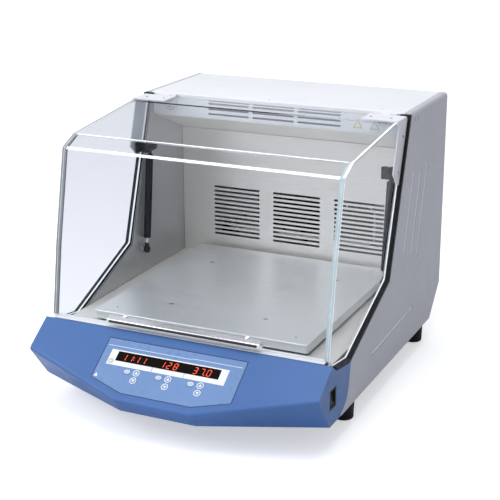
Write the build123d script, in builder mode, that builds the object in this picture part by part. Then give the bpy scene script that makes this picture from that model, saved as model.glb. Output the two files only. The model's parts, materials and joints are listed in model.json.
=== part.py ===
"""Incubating orbital shaker: a bench cabinet with a clear hinged hood over a shaking tray.

Frame: origin at the centre of the footprint on the bench, +X to the operator's right,
+Y towards the back, +Z up. Millimetres.
"""

import math
import os

from build123d import *

os.makedirs("parts", exist_ok=True)

# ---------------------------------------------------------------- driving dimensions
WIDTH = 580.0
DEPTH = 750.0
HEIGHT = 520.0
HALF = WIDTH / 2
BACK = DEPTH / 2
FRONT = -DEPTH / 2

SHEET = 1.5                # housing sheet steel
LINER = 1.2                # chamber sheet
BASE_SHEET = 3.0
RETURN = 15.0              # folded edge of each side panel
TOP_BEND = 8.0             # outer radius where each side panel folds over the top
SEAM = 0.4                 # gap left between neighbouring panels
INNER = HALF - RETURN - SEAM   # half width of the panels that fit between the side panels

FOOT_HEIGHT = 45.0
FOOT_X = 262.0
FOOT_FRONT_Y = -124.0
FOOT_BACK_Y = 289.0
FOOT_RADIUS = 20.0

# outline of the cabinet side, seen from the right: Y, Z
TOP_FRONT = (142.0, HEIGHT)
KNEE = (40.0, 215.0)
NOTCH = (-235.0, 141.0)
CHEEK = (-166.0, 131.0)
CHEEK_LOW = (-174.0, 89.0)
CHEEK_BEND = (-187.0, 64.0)
CHEEK_FOOT = (-211.0, 51.0)
BASE_BACK = (312.0, FOOT_HEIGHT)
BACK_LOW = (BACK, 108.0)

# beads pressed into the side panels: the two ends of each, Y, Z
BEADS = [
    ((166.0, 407.0), (119.0, 243.0)),
    ((209.0, 395.0), (165.0, 229.0)),
    ((251.0, 404.0), (205.0, 217.0)),
    ((-53.0, 103.0), (186.0, 114.0)),
]
BEAD_WIDTH = 9.0
BEAD_DEPTH = 0.6

# chamber
WALL_X = 272.0
FLOOR_Z = 142.0
BACK_WALL_Y = 268.0
WALL_TOP_Z = 511.5
VENT_Y = 143.7
VENT_SLOT = (91.0, 4.0)
VENT_PITCH = (99.0, 10.2)
VENT_Z = 490.5
PORT_PLACE = (-234.0, 493.5)
PORT_RADIUS = 8.0
CEILING_FRONT_Z = 472.0
CEILING_BACK_Z = 418.0
SILL_Y = -237.0
GRILLE_COLUMNS = 3
GRILLE_ROWS = 12
GRILLE_PITCH_X = 141.0
GRILLE_PITCH_Z = 9.7
GRILLE_SLOT = (109.0, 4.8)
GRILLE_Z = 240.0

# front housing
SLOPE = 0.70               # fall of the sloped face, Z per Y
SHELL_TOP = (-258.0, 158.0)
SHELL_WALL = 3.5
SHELL_BOTTOM_Z = 46.0
NOSE_X = 76.0              # half width of the straight middle of the front edge
NOSE_Y = FRONT - 2.63      # sharp front corner, before its edge is rounded
NOSE_FOOT_Y = FRONT + 19.6
CORNER_Y = -319.0          # where the front edge meets the side faces
NOSE_ROUND = 6.0

# hood
HOOD_X = 281.0
HOOD_PANE = 5.0
HOOD_GAP = 0.5
HOOD_PROFILE = [
    (128.0, 514.0),
    (72.0, 513.6),
    (-150.0, 490.0),
    (-189.0, 472.0),
    (-226.0, 299.0),
    (-248.0, 162.0),
]
SEAL_DEPTH = 6.0
SEAL_WIDTH = 13.0
SEAL_TOP_Z = HEIGHT - 2
HINGE_Y = 137.5
HINGE_Z = 515.5
KNUCKLE_RADIUS = 3.2
PIN_RADIUS = 1.5
RUNNING = 0.05             # radial clearance of every running fit

# gas struts, in a plane beside each chamber wall
STRUT_X = 262.0
STRUT_LOW = (80.0, 195.0)
STRUT_HIGH = (106.0, 414.0)
CYLINDER_RADIUS = 7.75
ROD_RADIUS = 3.0

# orbital drive
ORBIT = 10.0
DRIVE_Y = 16.5
TRAY_Y = DRIVE_Y + ORBIT
TRAY_HALF_X = 221.0
TRAY_HALF_Y = 226.5
TRAY_TOP_Z = 163.0
TRAY_SHEET = 2.5
TRAY_FLANGE = 16.0
TRAY_HOLE_X = 372.0
TRAY_HOLE_Y = 394.0
TRAY_HOLE_RADIUS = 2.5
GUIDE_PLACES = [(-150.0, DRIVE_Y - 105.0), (150.0, DRIVE_Y - 105.0), (0.0, DRIVE_Y + 150.0)]
SHAFT_RADIUS = 8.0
CRANK_PIN_RADIUS = 6.0
BEARING_WIDTH = 10.0
MOTOR_PLACE = (112.0, 98.0)
CRANK_PULLEY_RADIUS = 48.0
MOTOR_PULLEY_RADIUS = 16.0
BELT_Z = 112.0
BELT_WIDTH = 12.0
BELT_THICKNESS = 2.4

# operating panel, measured down the slope from the rear edge of the sloped face
KEY_RADIUS = 6.8
KEY_COLUMNS = [("timer", -66.0), ("speed", -2.0), ("heat", 62.0)]
KEY_SPOTS = [("mode", -9.5, 84.0), ("up", 9.5, 84.0), ("down", 9.5, 99.5)]
DISPLAY_X = (-124.0, 113.0)
DISPLAY_S = (43.0, 75.5)
ROCKER_Y = -252.0
ROCKER_Z = 96.0
ROCKER_X = 279.0           # pivot of the rocker
ROCKER_TILT = 7.0          # lean of the rocker to each side of its middle
ROCKER_PIN_RADIUS = 1.5

SCREW_RADIUS = 2.0
SCREW_HOLE_RADIUS = 2.1
SCREW_SINK = 0.3           # panel screw heads below the outer faces
SIDE_SCREWS = [(298.0, 388.0), (302.0, 110.0), (-154.0, 99.0), (-173.0, 62.0)]
TOP_SCREWS = [(-14.0, 157.0), (223.0, 158.0), (-250.0, 157.0)]
INLET_PLACE = (-205.0, 170.0)
INLET_SIZE = (27.0, 20.0)
FAN_Z = 240.0


STANDING = (Align.CENTER, Align.CENTER, Align.MIN)   # a solid that rises from its place
HANGING = (Align.CENTER, Align.CENTER, Align.MAX)    # a solid that reaches down from its place
CORNER = (Align.MIN, Align.MIN, Align.MIN)           # a solid placed by its lowest corner


def finish(part, name):
    """Label a finished piece and write it."""
    part.label = name
    export_step(part, f"parts/{name}.step")


def slope_plane(depth=0.0):
    """The sloped face of the front housing, or a plane that far below it."""
    fall = 1 / math.hypot(1, SLOPE)
    normal = Vector(0, -SLOPE * fall, fall)
    return Plane((0, *SHELL_TOP), x_dir=(1, 0, 0), z_dir=normal).offset(-depth)


def cheek_curve(shift=0.0):
    """Joint line between the side panel and the front housing, top to bottom."""
    low, bend, foot = [(y + shift, z) for y, z in (CHEEK_LOW, CHEEK_BEND, CHEEK_FOOT)]
    Line((CHEEK[0] + shift, CHEEK[1]), low)
    ThreePointArc(low, bend, foot)


def parallel(points, distance):
    """Polyline moved to the left of its own direction by distance."""
    corners = [Vector(*p) for p in points]
    runs = [(b - a).normalized() for a, b in zip(corners, corners[1:])]
    sides = [Vector(-run.Y, run.X) for run in runs]
    moved = []
    for corner, left, right in zip(corners, sides[:1] + sides, sides + sides[-1:]):
        place = corner + (left + right) * (distance / (1 + left.dot(right)))
        moved.append((place.X, place.Y))
    return moved


def at_height(low, high, height):
    """Point at the given height on the straight line through low and high."""
    share = (height - low[1]) / (high[1] - low[1])
    return (low[0] + (high[0] - low[0]) * share, height)


def front_edge_line(distance, top_z):
    """Front edge of the cabinet side, moved towards the hood by distance, up to top_z."""
    line = parallel([NOTCH, CHEEK, KNEE, TOP_FRONT], distance)
    line[-1] = at_height(line[-2], line[-1], top_z)
    return line


# ---------------------------------------------------------------- base plate
BASE_FRONT_Y = CHEEK_FOOT[0] + 1
BASE_BACK_Y = BASE_BACK[0] - 2
with BuildPart() as base_plate:
    with BuildSketch(Plane.XY.offset(FOOT_HEIGHT)):
        with Locations((0, (BASE_FRONT_Y + BASE_BACK_Y) / 2)):
            Rectangle(2 * INNER, BASE_BACK_Y - BASE_FRONT_Y)
    extrude(amount=BASE_SHEET)
    # air inlet slots
    with BuildSketch(Plane.XY.offset(FOOT_HEIGHT)):
        with Locations((-150, 60), (190, -10)):
            with GridLocations(0, 12, 1, 6):
                SlotOverall(80, 5)
    extrude(amount=BASE_SHEET, mode=Mode.SUBTRACT)
finish(base_plate.part, "base_plate")

with BuildPart() as feet:
    with BuildSketch(Plane.XZ):
        with BuildLine():
            Polyline((3, 0), (FOOT_RADIUS - 3, 0), (FOOT_RADIUS - 1, 2), (FOOT_RADIUS, 30),
                     (FOOT_RADIUS, FOOT_HEIGHT), (3, FOOT_HEIGHT), close=True)
        make_face()
    foot = revolve(axis=Axis.Z, mode=Mode.PRIVATE)
    with Locations(*[(x, y, 0) for x in (-FOOT_X, FOOT_X) for y in (FOOT_FRONT_Y, FOOT_BACK_Y)]):
        add(foot)
finish(feet.part, "feet")

# ---------------------------------------------------------------- side panels
with BuildSketch(Plane.YZ) as side_outline:
    with BuildLine():
        Polyline(CHEEK, KNEE, TOP_FRONT, (BACK, HEIGHT), BACK_LOW, BASE_BACK,
                 (CHEEK_FOOT[0], FOOT_HEIGHT), CHEEK_FOOT)
        cheek_curve()
    make_face()


def side_block(wall, start_x):
    """Solid of the side panel from start_x outwards, shrunk by wall on its outer faces."""
    with BuildPart() as block:
        with BuildSketch(Plane.YZ.offset(start_x)):
            add(side_outline.sketch_local)
            if wall:
                offset(amount=-wall, kind=Kind.INTERSECTION, mode=Mode.REPLACE)
        extrude(amount=HALF - wall - start_x)
        outer = block.faces().sort_by(Axis.X)[-1]
        fillet(outer.edges().group_by(Axis.Z)[-1], radius=TOP_BEND - wall)
    return block.part


with BuildPart() as right_side_panel:
    add(side_block(0, HALF - RETURN))
    add(side_block(SHEET, HALF - RETURN - 5), mode=Mode.SUBTRACT)
    # long shallow beads pressed inwards
    with BuildSketch(Plane.YZ.offset(HALF)):
        for top, foot in BEADS:
            middle = ((top[0] + foot[0]) / 2, (top[1] + foot[1]) / 2)
            SlotCenterPoint(middle, top, BEAD_WIDTH)
    extrude(amount=-BEAD_DEPTH, mode=Mode.SUBTRACT)
    # two hinge screw slots and the panel screw holes
    with BuildSketch(Plane.YZ.offset(HALF)):
        with Locations((162, 505), (178, 505)):
            SlotOverall(9, 3.5, rotation=90)
        with Locations(*SIDE_SCREWS):
            Circle(SCREW_HOLE_RADIUS)
    extrude(amount=-SHEET, mode=Mode.SUBTRACT)
finish(right_side_panel.part, "right_side_panel")

with BuildPart() as left_side_panel:
    mirror(right_side_panel.part, about=Plane.YZ)
finish(left_side_panel.part, "left_side_panel")

# ---------------------------------------------------------------- top, back and vent panels
COVER_BACK_Y = BACK - SHEET - SEAM
COVER_LIP_Z = 512.0        # lower edge of the lip turned down at the front
with BuildPart() as top_cover:
    with BuildSketch(Plane.YZ.offset(-INNER)) as cover_section:
        with BuildLine():
            Polyline((TOP_FRONT[0], COVER_LIP_Z), TOP_FRONT, (COVER_BACK_Y, HEIGHT),
                     (COVER_BACK_Y, HEIGHT - SHEET), (TOP_FRONT[0] + SHEET, HEIGHT - SHEET),
                     (TOP_FRONT[0] + SHEET, COVER_LIP_Z), close=True)
        make_face()
        fillet(cover_section.vertices().sort_by_distance(TOP_FRONT)[0], 3)
    extrude(amount=2 * INNER)
    with Locations(*[(x, y, HEIGHT) for x, y in TOP_SCREWS]):
        Hole(SCREW_HOLE_RADIUS, depth=SHEET)
finish(top_cover.part, "top_cover")

with BuildPart() as back_panel:
    with BuildSketch(Plane.YZ.offset(-INNER)):
        Polygon((BACK, HEIGHT - SHEET - SEAM), BACK_LOW, (BASE_BACK[0] + 0.3, BASE_BACK[1] + 0.3),
                (BASE_BACK[0] - 0.8, BASE_BACK[1] + 1.4), (BACK - SHEET, BACK_LOW[1] + 0.6),
                (BACK - SHEET, HEIGHT - SHEET - SEAM), align=None)
    extrude(amount=2 * INNER)
    with BuildSketch(Plane.XZ.offset(-BACK)):
        with Locations((0, 250)):
            with GridLocations(150, 14, 2, 9):
                SlotOverall(110, 6)
        with Locations(INLET_PLACE):
            Rectangle(INLET_SIZE[0] + 0.4, INLET_SIZE[1] + 0.4)
    extrude(amount=SHEET, mode=Mode.SUBTRACT)
finish(back_panel.part, "back_panel")

LINER_WIDTH = 2 * WALL_X - 1   # sheets that fit between the chamber's side walls
VENT_TOP_Z = HEIGHT - SHEET - SEAM
with BuildPart() as vent_panel:
    with BuildSketch(Plane.XZ.offset(-VENT_Y)):
        with Locations((0, (CEILING_FRONT_Z + VENT_TOP_Z) / 2)):
            Rectangle(LINER_WIDTH, VENT_TOP_Z - CEILING_FRONT_Z)
        with Locations((0, VENT_Z)):
            with GridLocations(*VENT_PITCH, 3, 3):
                SlotOverall(*VENT_SLOT, mode=Mode.SUBTRACT)
        with Locations(PORT_PLACE):
            Circle(PORT_RADIUS, mode=Mode.SUBTRACT)
    extrude(amount=-LINER)
finish(vent_panel.part, "vent_panel")

# ---------------------------------------------------------------- chamber
WALL_FOOT_Z = FLOOR_Z + SEAM
LINER_BACK_Y = BACK_WALL_Y + LINER
with BuildPart() as right_wall:
    with BuildSketch(Plane.YZ.offset(WALL_X)):
        Polygon(at_height(CHEEK, KNEE, WALL_FOOT_Z), KNEE, at_height(KNEE, TOP_FRONT, WALL_TOP_Z),
                (LINER_BACK_Y, WALL_TOP_Z), (LINER_BACK_Y, WALL_FOOT_Z), align=None)
    extrude(amount=LINER)

with BuildPart() as chamber_side_walls:
    add(right_wall.part)
    mirror(right_wall.part, about=Plane.YZ)
finish(chamber_side_walls.part, "chamber_side_walls")

with BuildPart() as chamber_back_wall:
    with BuildSketch(Plane.XZ.offset(-BACK_WALL_Y)):
        with Locations((0, (WALL_FOOT_Z + CEILING_BACK_Z) / 2)):
            Rectangle(LINER_WIDTH, CEILING_BACK_Z - WALL_FOOT_Z)
        with Locations((0, GRILLE_Z)):
            with GridLocations(GRILLE_PITCH_X, GRILLE_PITCH_Z, GRILLE_COLUMNS, GRILLE_ROWS):
                SlotOverall(*GRILLE_SLOT, mode=Mode.SUBTRACT)
    extrude(amount=-LINER)
finish(chamber_back_wall.part, "chamber_back_wall")

CEILING_SHEET = 1.3        # liner thickness measured upright on the sloping ceiling
with BuildPart() as chamber_ceiling:
    with BuildSketch(Plane.YZ.offset(-LINER_WIDTH / 2)):
        front_top = CEILING_FRONT_Z - SEAM
        back_top = CEILING_BACK_Z + CEILING_SHEET + 0.3
        Polygon((VENT_Y, front_top), (LINER_BACK_Y, back_top),
                (LINER_BACK_Y, back_top - CEILING_SHEET), (VENT_Y, front_top - CEILING_SHEET), align=None)
    extrude(amount=LINER_WIDTH)
finish(chamber_ceiling.part, "chamber_ceiling")

FLOOR_FRONT_Y = SILL_Y + LINER + 0.3
with BuildPart() as chamber_floor:
    with Locations((0, (FLOOR_FRONT_Y + BACK_WALL_Y) / 2, FLOOR_Z)):
        Box(LINER_WIDTH, BACK_WALL_Y - FLOOR_FRONT_Y, RETURN, align=HANGING)
    offset(amount=-SHEET, openings=chamber_floor.faces().sort_by(Axis.Z)[0])
    with Locations((0, 0, FLOOR_Z)):
        with Locations((0, DRIVE_Y), *GUIDE_PLACES):
            Hole(CRANK_PIN_RADIUS + ORBIT + 5, depth=SHEET)
finish(chamber_floor.part, "chamber_floor")

SILL_FRONT_Y = SHELL_TOP[0] + 0.6
SILL_Z = SHELL_TOP[1] + SEAM
SILL_FOOT_Z = FLOOR_Z - 12
with BuildPart() as front_sill:
    with BuildSketch(Plane.YZ.offset(-INNER)):
        Polygon((SILL_FRONT_Y, SILL_Z), (SILL_Y, SILL_Z), (SILL_Y, SILL_FOOT_Z),
                (SILL_Y + LINER, SILL_FOOT_Z), (SILL_Y + LINER, SILL_Z + LINER),
                (SILL_FRONT_Y, SILL_Z + LINER), align=None)
    extrude(amount=2 * INNER)
finish(front_sill.part, "front_sill")

with BuildPart() as right_seal:
    with BuildSketch(Plane.YZ.offset(HOOD_X - HOOD_PANE)):
        near = front_edge_line(0.2, SEAL_TOP_Z)
        far = front_edge_line(SEAL_DEPTH, SEAL_TOP_Z)
        Polygon(*near, *reversed(far), align=None)
    extrude(amount=SEAL_WIDTH)
    # short leg turned inwards under the front edge of the top cover
    with Locations((HOOD_X - HOOD_PANE, TOP_FRONT[0] - 3, SEAL_TOP_Z)):
        Box(8, 6.5, 5, align=(Align.MAX, Align.MAX, Align.MAX))

with BuildPart() as hood_seals:
    add(right_seal.part)
    mirror(right_seal.part, about=Plane.YZ)
finish(hood_seals.part, "hood_seals")

# ---------------------------------------------------------------- front housing
top_plane = slope_plane()
corner_top = Vector(HALF, CORNER_Y, SHELL_TOP[1] + SLOPE * (CORNER_Y - SHELL_TOP[0]))
nose_top = Vector(NOSE_X, NOSE_Y, SHELL_TOP[1] + SLOPE * (NOSE_Y - SHELL_TOP[0]))
nose_foot = Vector(NOSE_X, NOSE_FOOT_Y, SHELL_BOTTOM_Z)


def outward_plane(origin, along, down):
    """Plane through origin that holds both directions, facing the operator."""
    normal = along.cross(down)
    if normal.Y > 0:
        normal = -normal
    return Plane(origin, z_dir=normal)


middle_under = outward_plane(nose_top, Vector(1, 0, 0), nose_foot - nose_top)
right_under = outward_plane(nose_top, corner_top - nose_top, nose_foot - nose_top)
left_under = Plane(
    (-nose_top.X, nose_top.Y, nose_top.Z),
    z_dir=(-right_under.z_dir.X, right_under.z_dir.Y, right_under.z_dir.Z),
)
SHELL_FACES = (top_plane, middle_under, right_under, left_under)

with BuildPart() as shell_outside:
    with BuildSketch(Plane.YZ.offset(-HALF)):
        with BuildLine():
            cheek_curve(-SEAM)
            Polyline((CHEEK_FOOT[0] - SEAM, CHEEK_FOOT[1]), (CHEEK_FOOT[0] - SEAM, SHELL_BOTTOM_Z),
                     (FRONT - 20, SHELL_BOTTOM_Z), (FRONT - 20, SHELL_TOP[1]), SHELL_TOP,
                     NOTCH, (CHEEK[0] - SEAM, CHEEK[1]))
        make_face()
    extrude(amount=WIDTH)
    for face in SHELL_FACES:
        split(bisect_by=face, keep=Keep.BOTTOM)
    front_edges = [e for e in shell_outside.edges()
                   if abs((e @ 0.5).Y - FRONT) < 60 and (e @ 0.5).Z > 70 and abs((e @ 0.5).X) < HALF - 1]
    fillet(front_edges, radius=NOSE_ROUND)

with BuildPart() as shell_inside:
    # block larger than the housing towards the cabinet, cut back under its outer faces
    with Locations((0, FRONT - 20, SHELL_BOTTOM_Z + SHELL_WALL)):
        Box(WIDTH - 2 * SHELL_WALL, 245, 200, align=(Align.CENTER, Align.MIN, Align.MIN))
    for face in SHELL_FACES:
        split(bisect_by=face.offset(-SHELL_WALL), keep=Keep.BOTTOM)

MEMBRANE = 0.8


def membrane_outline(margin):
    """Outline of the key membrane on the sloped face, grown by margin."""
    right = [(140 + margin, -20 + margin), (140 + margin, -106.6 - margin / 2),
             (70 + margin / 2, -129 - margin)]
    return right + [(-x, y) for x, y in reversed(right)]


KEY_PLACES = {f"{group}_{use}_key": (x + dx, -s) for group, x in KEY_COLUMNS for use, dx, s in KEY_SPOTS}
DISPLAY_CENTRE = (sum(DISPLAY_X) / 2, -sum(DISPLAY_S) / 2)
DISPLAY_SIZE = (DISPLAY_X[1] - DISPLAY_X[0], DISPLAY_S[1] - DISPLAY_S[0])

with BuildPart() as front_shell:
    add(shell_outside.part)
    add(shell_inside.part, mode=Mode.SUBTRACT)
    # recess for the membrane, then the openings under it
    with BuildSketch(top_plane):
        Polygon(*membrane_outline(0.4), align=None)
    extrude(amount=-MEMBRANE, mode=Mode.SUBTRACT)
    with BuildSketch(top_plane):
        with Locations(DISPLAY_CENTRE):
            Rectangle(DISPLAY_SIZE[0] - 12, DISPLAY_SIZE[1] - 8)
        with Locations(*KEY_PLACES.values()):
            Circle(3.4)
    extrude(amount=-SHELL_WALL - 1, mode=Mode.SUBTRACT)
    # opening for the power switch in the right cheek
    with BuildSketch(Plane.YZ.offset(HALF)):
        with Locations((ROCKER_Y, ROCKER_Z)):
            Rectangle(31, 39)
    extrude(amount=-SHELL_WALL - 1, mode=Mode.SUBTRACT)
finish(front_shell.part, "front_shell")

with BuildPart() as control_membrane:
    with BuildSketch(top_plane.offset(-MEMBRANE)):
        Polygon(*membrane_outline(0), align=None)
        with Locations(DISPLAY_CENTRE):
            Rectangle(DISPLAY_SIZE[0] + 0.4, DISPLAY_SIZE[1] + 0.4, mode=Mode.SUBTRACT)
        with Locations(*KEY_PLACES.values()):
            Circle(KEY_RADIUS + 0.3, mode=Mode.SUBTRACT)
    extrude(amount=MEMBRANE)
finish(control_membrane.part, "control_membrane")

with BuildPart() as display_window:
    with BuildSketch(top_plane.offset(-MEMBRANE)):
        with Locations(DISPLAY_CENTRE):
            RectangleRounded(*DISPLAY_SIZE, 1)
    extrude(amount=MEMBRANE)
    with BuildSketch(top_plane.offset(-MEMBRANE)):
        with Locations(DISPLAY_CENTRE):
            Rectangle(DISPLAY_SIZE[0] - 13, DISPLAY_SIZE[1] - 9)
    extrude(amount=-1.5)
finish(display_window.part, "display_window")

BOARD_DEPTH = 16.0
with BuildPart() as control_board:
    with BuildSketch(top_plane.offset(-BOARD_DEPTH)):
        with Locations((-4, -72)):
            Rectangle(262, 78)
    extrude(amount=-1.6)
    # display modules, key switches and the four posts that hold the board to the housing
    with BuildSketch(top_plane.offset(-BOARD_DEPTH)):
        with Locations(*[(x, DISPLAY_CENTRE[1]) for _, x in KEY_COLUMNS]):
            Rectangle(50, 18)
    extrude(amount=BOARD_DEPTH - MEMBRANE - 2.2)
    with BuildSketch(top_plane.offset(-BOARD_DEPTH)):
        with Locations(*KEY_PLACES.values()):
            Rectangle(6, 6)
    extrude(amount=4)
    with BuildSketch(top_plane.offset(-BOARD_DEPTH)):
        with Locations(*[(x, y) for x in (-130, 122) for y in (-38, -106)]):
            Circle(3)
    extrude(amount=BOARD_DEPTH - SHELL_WALL - 0.05)
finish(control_board.part, "control_board")

for key_name, place in KEY_PLACES.items():
    with BuildPart() as key:
        # cap standing a little proud, and the plunger that reaches down to its switch
        with BuildSketch(top_plane.offset(0.4)):
            with Locations(place):
                Circle(KEY_RADIUS)
        extrude(amount=-0.75)
        with BuildSketch(top_plane):
            with Locations(place):
                Circle(2.6)
        extrude(amount=4.6 - BOARD_DEPTH)
    finish(key.part, key_name)

# ---------------------------------------------------------------- power switch
with BuildPart() as rocker_bezel:
    with Locations((HALF - 0.4, ROCKER_Y, ROCKER_Z)):
        Box(27, 30.4, 38.4, align=(Align.MAX, Align.CENTER, Align.CENTER))
        Box(21, 24, 31, align=(Align.MAX, Align.CENTER, Align.CENTER), mode=Mode.SUBTRACT)
    with Locations(Location((ROCKER_X, ROCKER_Y, ROCKER_Z), (90, 0, 0))):
        Cylinder(ROCKER_PIN_RADIUS + RUNNING, 40, mode=Mode.SUBTRACT)
finish(rocker_bezel.part, "rocker_bezel")

with BuildPart() as rocker_switch:
    lean = math.radians(ROCKER_TILT)
    outwards = (math.cos(lean), 0, math.sin(lean))
    with BuildSketch(Plane((ROCKER_X, ROCKER_Y, ROCKER_Z), x_dir=outwards, z_dir=(0, -1, 0))):
        with BuildLine():
            Polyline((8, 14.2), (-1, 13), (-5, 4), (-5, -4), (-1, -13), (8, -14.2))
            ThreePointArc((8, -14.2), (6.2, 0), (8, 14.2))
        make_face()
    extrude(amount=11.7, both=True)
    with Locations(Location((ROCKER_X, ROCKER_Y, ROCKER_Z), (90, 0, 0))):
        Cylinder(ROCKER_PIN_RADIUS, 29)
finish(rocker_switch.part, "rocker_switch")

# ---------------------------------------------------------------- hood
HOOD_INSIDE = parallel(HOOD_PROFILE, HOOD_PANE)
with BuildPart() as hood_sheet:
    with BuildSketch(Plane.YZ.offset(-HOOD_X + HOOD_PANE)):
        Polygon(*HOOD_PROFILE, *reversed(HOOD_INSIDE), align=None)
    extrude(amount=2 * (HOOD_X - HOOD_PANE))
finish(hood_sheet.part, "hood_sheet")

with BuildPart() as right_pane:
    with BuildSketch(Plane.YZ.offset(HOOD_X - HOOD_PANE)):
        rear_edge = front_edge_line(SEAL_DEPTH + HOOD_GAP, HOOD_PROFILE[0][1] - 0.5)
        Polygon(*HOOD_PROFILE, *rear_edge, align=None)
    extrude(amount=HOOD_PANE)

with BuildPart() as hood_side_panes:
    add(right_pane.part)
    mirror(right_pane.part, about=Plane.YZ)
finish(hood_side_panes.part, "hood_side_panes")

RAIL_HALF = 155.0
with BuildPart() as handle_rail:
    # back plate on the sheet, finger ledge and its turned-down lip
    with BuildSketch(Plane.YZ.offset(-RAIL_HALF)) as rail_section:
        Polygon((-245.5, 178.5), (-262, 176), (-262.4, 168.5), (-259.4, 168.5), (-259.2, 173.4),
                (-249.2, 175), (-250.9, 163.8), (-248, 163.3), align=None)
        fillet(rail_section.vertices().sort_by_distance((-262, 176))[0], 2)
    extrude(amount=2 * RAIL_HALF)
finish(handle_rail.part, "handle_rail")

LEAF = 2.5
LEAF_Z = HOOD_PROFILE[0][1] + 0.2
LEAF_INNER_X = 210.0
LEAF_FRONT_Y = 77.0
LEAF_REAR_Y = 129.0
LEAF_SIDE_X = HOOD_X + 0.3
LEAF_OUTER_X = LEAF_SIDE_X + LEAF
LEAF_FOOT_Z = 392.0
LEAF_SCREWS = [(107.0, 482.0), (85.0, 417.0)]
LEAF_KNUCKLE = (226.4, 249.6)
LUG_KNUCKLES = ((214.0, 226.0), (250.0, 262.0))


def hinge_rod(radius, start_x, end_x, mode=Mode.ADD):
    """Round bar on the hinge axis."""
    with Locations(Location((start_x, HINGE_Y, HINGE_Z), (0, 90, 0))):
        Cylinder(radius, end_x - start_x, align=STANDING, mode=mode)


with BuildPart() as right_leaf:
    # flange on the hood's top, then the plate folded down its side
    with BuildSketch(Plane.XZ.offset(-LEAF_FRONT_Y)) as leaf_section:
        Polygon((LEAF_INNER_X, LEAF_Z), (LEAF_INNER_X, LEAF_Z + LEAF), (LEAF_OUTER_X, LEAF_Z + LEAF),
                (LEAF_OUTER_X, LEAF_Z - 6), (LEAF_SIDE_X, LEAF_Z - 6), (LEAF_SIDE_X, LEAF_Z), align=None)
        fillet(leaf_section.vertices().sort_by_distance((LEAF_OUTER_X, LEAF_Z + LEAF))[0], 2.4)
    extrude(amount=LEAF_FRONT_Y - LEAF_REAR_Y)
    with BuildSketch(Plane.YZ.offset(LEAF_SIDE_X)):
        rear = front_edge_line(SEAL_DEPTH + 0.6, LEAF_Z - 2)
        Polygon(rear[-1], at_height(rear[-2], rear[-1], LEAF_FOOT_Z), (86, LEAF_FOOT_Z), (57, 419),
                (LEAF_FRONT_Y + 9, LEAF_Z - 4), (LEAF_FRONT_Y + 9, LEAF_Z - 2), align=None)
        with Locations(*LEAF_SCREWS):
            Circle(2.2, mode=Mode.SUBTRACT)
    extrude(amount=LEAF)
    with Locations((LEAF_KNUCKLE[0], LEAF_REAR_Y - 1, LEAF_Z)):
        Box(LEAF_KNUCKLE[1] - LEAF_KNUCKLE[0], HINGE_Y - LEAF_REAR_Y + 1, LEAF, align=CORNER)
    hinge_rod(KNUCKLE_RADIUS, *LEAF_KNUCKLE)
    hinge_rod(PIN_RADIUS + RUNNING, *LEAF_KNUCKLE, mode=Mode.SUBTRACT)

with BuildPart() as hinge_leaves:
    add(right_leaf.part)
    mirror(right_leaf.part, about=Plane.YZ)
finish(hinge_leaves.part, "hinge_leaves")

with BuildPart() as right_block:
    with Locations((LUG_KNUCKLES[0][0], TOP_FRONT[0] - 1, 490)):
        Box(LUG_KNUCKLES[1][1] - LUG_KNUCKLES[0][0], 2.4, 21.5, align=CORNER)
    for start_x, end_x in LUG_KNUCKLES:
        with Locations((start_x, HINGE_Y - KNUCKLE_RADIUS, 500)):
            Box(end_x - start_x, 8.7, 11.5, align=CORNER)
            Box(end_x - start_x, 2 * KNUCKLE_RADIUS, HINGE_Z - 500, align=CORNER)
        hinge_rod(KNUCKLE_RADIUS, start_x, end_x)
        hinge_rod(PIN_RADIUS, start_x, end_x, mode=Mode.SUBTRACT)

with BuildPart() as hinge_blocks:
    add(right_block.part)
    mirror(right_block.part, about=Plane.YZ)
finish(hinge_blocks.part, "hinge_blocks")

# ---------------------------------------------------------------- gas struts
STRUT_VECTOR = Vector(0, STRUT_HIGH[0] - STRUT_LOW[0], STRUT_HIGH[1] - STRUT_LOW[1])
STRUT_LENGTH = STRUT_VECTOR.length
SOCKET_ABOVE = 14.0        # socket above the lower pivot
SOCKET_BELOW = 8.0
SOCKET_RADIUS = 8.0
STUD_RADIUS = 4.0
CYLINDER_START = 24.5      # lower end of the cylinder, from the lower pivot
GLAND = 11.5
PISTON_PLACE = 122.0
PISTON_HEIGHT = 10.0
BORE_RADIUS = 6.5


def strut_plane(side, distance):
    """Plane square to the strut, that far above its lower pivot."""
    return Plane((side * STRUT_X, *STRUT_LOW), x_dir=(1, 0, 0), z_dir=STRUT_VECTOR).offset(distance)


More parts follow.
